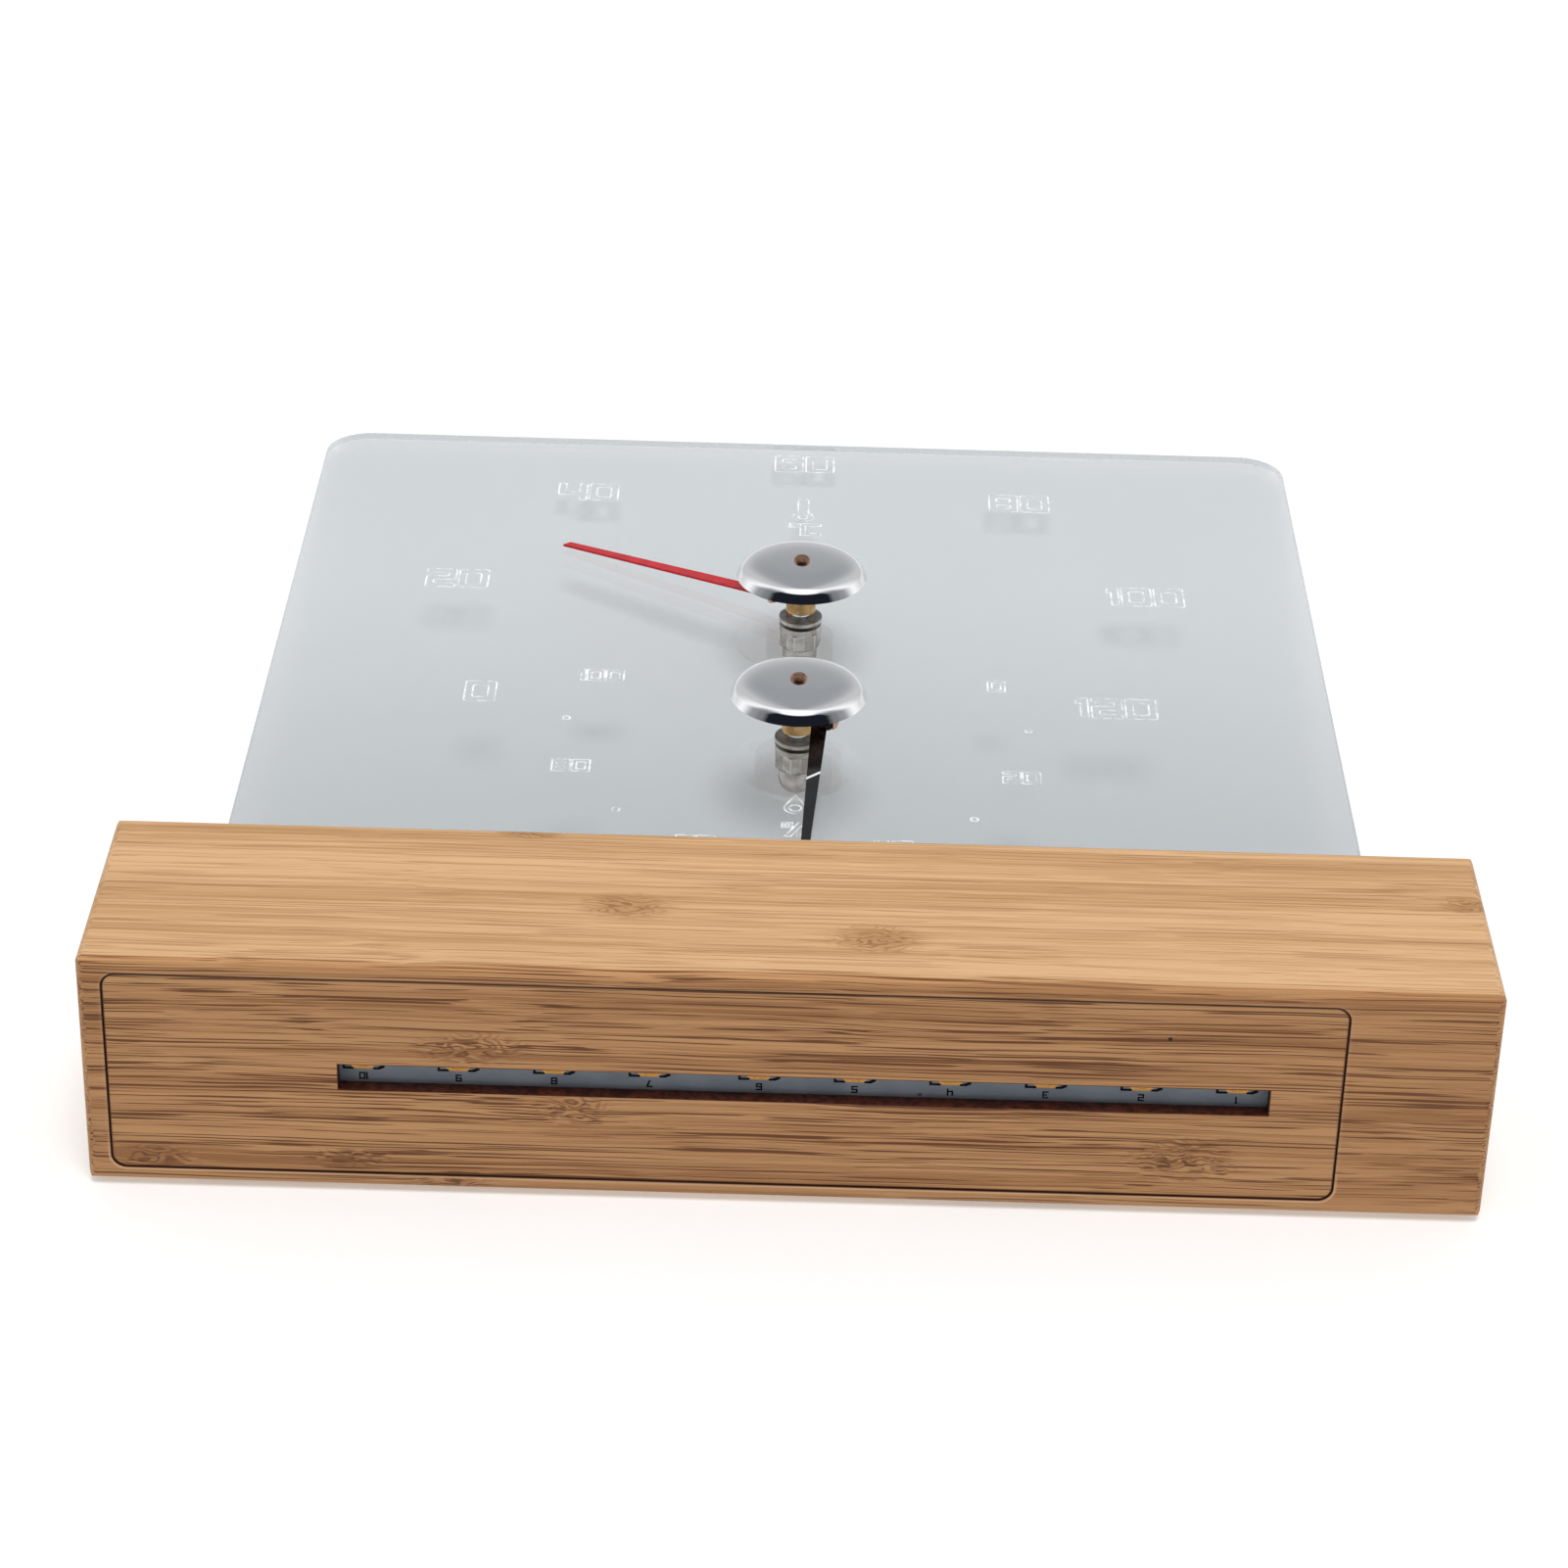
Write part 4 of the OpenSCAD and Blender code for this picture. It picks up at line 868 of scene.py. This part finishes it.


# Nuts and washers
# Behind the plate each stud takes a plain washer, a rubber seal, a lock washer and a cap nut.
# They are nickel plated. The cap nut has painted highlights on the corners of its flats, every other flat
# painted darker, and a painted shade line in its groove.

satin_nickel = metal(
    "satin nickel plating", (0.93, 0.89, 0.84), (0.52, 0.48, 0.44), 0.10, 0.18, 420.0, 0.03, metallic=0.55)
nut_turn, nut_chamfer_r, groove_off = 15, 3.75, 4.0
for movement, axis in (("thermo", thermo_axis), ("hygro", hygro_axis)):
    dress(nodes[movement + "_washer"], satin_nickel)
    dress(nodes[movement + "_lock_washer"], satin_nickel)
    # The corners of the six flats get a painted highlight
    nut_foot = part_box(movement + "_cap_nut")[0].y
    cap_metal, tree, shader = finish_material(movement + " cap nut plating", Metallic=0.8)
    place = object_place(tree)
    wear = use(tree, worn_metal, {
        "Place": place, "Light": (1.0, 0.97, 0.93, 1), "Dull": (0.66, 0.61, 0.56, 1),
        "Smooth": 0.08, "Rough": 0.20, "Size": 420.0})
    around = split(tree, vector_calc(tree, "SUBTRACT", place, axis * MM))
    turn = calc(
        tree, "ARCTAN2",
        calc(tree, "MULTIPLY", around["X"], -1.0), calc(tree, "MULTIPLY", around["Z"], -1.0))
    side_count = calc(tree, "MULTIPLY_ADD", turn, 3 / math.pi, 3.5 - nut_turn / 60)
    off_corner = calc(tree, "ABSOLUTE", calc(tree, "SUBTRACT", calc(tree, "FRACT", side_count), 0.5))
    on_flats = ramp(
        tree, off_axis(tree, place, axis), nut_chamfer_r * MM, (nut_chamfer_r + 0.15) * MM)
    # Every other flat is painted darker: painted shade
    odd_flat = calc(tree, "MULTIPLY_ADD", calc(tree, "FLOOR", side_count), 0.5, 0.5)
    shaded_flat = calc(tree, "MULTIPLY", calc(tree, "FRACT", odd_flat), on_flats)
    corner_highlight = calc(tree, "MULTIPLY", ramp(tree, off_corner, 0.05, 0.02), on_flats)
    colour = blend_colours(tree, shaded_flat, wear.outputs["Colour"], (0.40, 0.36, 0.32, 1))
    colour = blend_colours(tree, corner_highlight, colour, (0.97, 0.96, 0.94, 1))
    # The groove between the flats and the round end is painted dark: painted shade in the crease
    groove_shade = calc(
        tree, "ABSOLUTE", calc(tree, "SUBTRACT", split(tree, place)["Y"], nut_foot + groove_off * MM))
    groove_shade = calc(tree, "MULTIPLY", ramp(tree, groove_shade, 0.32 * MM, 0.12 * MM), 0.7)
    colour = blend_colours(tree, groove_shade, colour, (0.16, 0.14, 0.13, 1))
    wire(tree, shader, Base_Color=colour,
         Roughness=calc(tree, "MULTIPLY_ADD", corner_highlight, 0.12, wear.outputs["Roughness"]))
    emboss(tree, shader, wear.outputs["Height"], 0.03, 0.05 * MM)
    dress(nodes[movement + "_cap_nut"], cap_metal)


# Table
# The instrument lies on its back on pale paper, resting on the bar's edge and on a cap nut.
# The paper only shows from its front, so that the instrument can be seen from behind too.

table_half, paper_step = 2.5, 25.0
# The paper lies nearly flat under the bar, and rises in one soft bend behind the lower dial
paper_level, paper_z, paper_slope = 23.0, 75.0, 0.02
paper_rise, bend_z, bend_reach = 0.107, 130.0, 18.0
paper_line = []
for step in range(-50, 101):
    z = paper_z + paper_step * step
    bend = bend_reach * math.log1p(math.exp((z - bend_z) / bend_reach))
    paper_line.append((z, paper_level - paper_slope * (z - paper_z) - paper_rise * bend))
table = mesh_piece(
    "table", [Vector((x * table_half, y * MM, z * MM)) for z, y in paper_line for x in (-1, 1)],
    [(2 * i, 2 * i + 1, 2 * i + 3, 2 * i + 2) for i in range(len(paper_line) - 1)], smooth=True)
table_white, tree, shader = finish_material(
    "pale table", Roughness=0.7, Specular_IOR_Level=0.1, Emission_Strength=0.24)
ray = put(tree, "ShaderNodeLightPath")
seen = calc(tree, "MAXIMUM", ray.outputs["Is Camera Ray"], ray.outputs["Is Transmission Ray"])
weave = noise(tree, object_place(tree), 40.0)
wire(
    tree, shader, Base_Color=blend_colours(tree, weave, (0.80, 0.80, 0.80, 1), (0.82, 0.82, 0.82, 1)),
    Emission_Color=blend_colours(tree, seen, (0.0, 0.0, 0.0, 1), (1.0, 1.0, 1.0, 1)))
open_side = put(tree, "ShaderNodeBsdfTransparent")
passing = calc(tree, "MAXIMUM", ray.outputs["Is Shadow Ray"], ray.outputs["Is Diffuse Ray"])
passing = calc(tree, "MAXIMUM", passing, put(tree, "ShaderNodeNewGeometry").outputs["Backfacing"])
swap_surface(tree, passing, shader, open_side)
dress(table, table_white)


# Studio light
# A soft lamp hangs over the table, white walls stand at both sides, and the camera's side is dark.
# The bright metal shows this room, so the world holds its walls.

room = bpy.data.worlds.new("studio")
bpy.context.scene.world = room
room.use_nodes = True
tree = room.node_tree
sight = split(tree, put(tree, "ShaderNodeTexCoord").outputs["Generated"])
to_side, to_table, to_far = sight["X"], sight["Y"], sight["Z"]
rise = calc(tree, "ARCSINE", calc(tree, "MULTIPLY", to_table, -1.0))
turn = calc(tree, "ABSOLUTE", calc(tree, "ARCTAN2", to_side, calc(tree, "MULTIPLY", to_far, -1.0)))


def between(angle, low, high):
    """A ramp from one angle to another, in degrees."""
    return ramp(tree, angle, math.radians(low), math.radians(high))


# turn is the angle sideways from the camera's side, and rise is the height above the table's edge
dark_side = calc(
    tree, "MULTIPLY", between(turn, 82, 52),
    calc(tree, "MULTIPLY", between(rise, 72, 60), between(rise, -30, -15)))
far_side = calc(tree, "MULTIPLY", between(turn, 94, 140), between(rise, 86, 68))
far_dark = calc(tree, "MULTIPLY", between(turn, 145, 176), between(rise, 8, 34))
far_wall = blend_colours(tree, far_dark, (0.62, 0.63, 0.64, 1), (0.36, 0.37, 0.39, 1))
walls = blend_colours(tree, far_side, (1.25, 1.25, 1.26, 1), far_wall)
side_gap = calc(
    tree, "MULTIPLY", calc(tree, "MULTIPLY", between(turn, 50, 72), between(turn, 110, 82)),
    between(rise, 80, 52))
walls = blend_colours(tree, side_gap, walls, (0.33, 0.34, 0.36, 1))
walls = blend_colours(tree, dark_side, walls, (0.012, 0.014, 0.022, 1))
ray = put(tree, "ShaderNodeLightPath")
# Plain surfaces get the room's even light, and only bright metal shows its walls apart
walls = blend_colours(tree, ray.outputs["Is Diffuse Ray"], walls, (0.60, 0.60, 0.60, 1))
# The white room shows behind the instrument, and through its plate where no metal has mirrored it
straight = calc(tree, "LESS_THAN", ray.outputs["Glossy Depth"], 0.5)
straight = calc(tree, "MULTIPLY", ray.outputs["Is Transmission Ray"], straight)
seen = calc(tree, "MAXIMUM", ray.outputs["Is Camera Ray"], straight)
walls = blend_colours(tree, seen, walls, (1.0, 1.0, 1.0, 1))
wire(tree, tree.nodes["Background"], Color=walls)

lamp_aim, lamp_far, lamp_tilt = Vector((0, 0, 0.14)), 1.2, math.radians(16)
over_table = Vector((0.05, -math.cos(lamp_tilt), -math.sin(lamp_tilt))).normalized()
lamp_data = bpy.data.lights.new("overhead lamp", "SUN")
lamp_data.angle = math.radians(24)
lamp_data.energy = 1.5
lamp = bpy.data.objects.new("overhead lamp", lamp_data)
lamp.location = lamp_aim + over_table * lamp_far
lamp.rotation_mode = "QUATERNION"
lamp.rotation_quaternion = over_table.to_track_quat("Z", "Y")
# Polished metal and the clear plate show the white wall overhead in place of the lamp
lamp.visible_glossy = False
lamp.visible_transmission = False
bpy.context.scene.collection.objects.link(lamp)


# Camera
# The camera looks up from below the bar's front. Its place and lens come from a fit to the corners
# of the bar and the plate, with the picture's middle on the lens axis.

camera_data = bpy.data.cameras.new("camera")
camera_data.sensor_width = 36.0
camera_data.lens = 95.463
camera = bpy.data.objects.new("camera", camera_data)
bpy.context.scene.collection.objects.link(camera)
right = Vector((0.999594, -0.023622, 0.015926))
down = Vector((0.028404, 0.869589, -0.492959))
forward = Vector((-0.002204, 0.493212, 0.869907))
turn = Matrix((right, -down, -forward)).transposed()
camera.matrix_world = Matrix.Translation(Vector((-0.554, -409.609, -612.692)) * MM) @ turn.to_4x4()
bpy.context.scene.camera = camera
bpy.context.scene.view_settings.view_transform = "Standard"
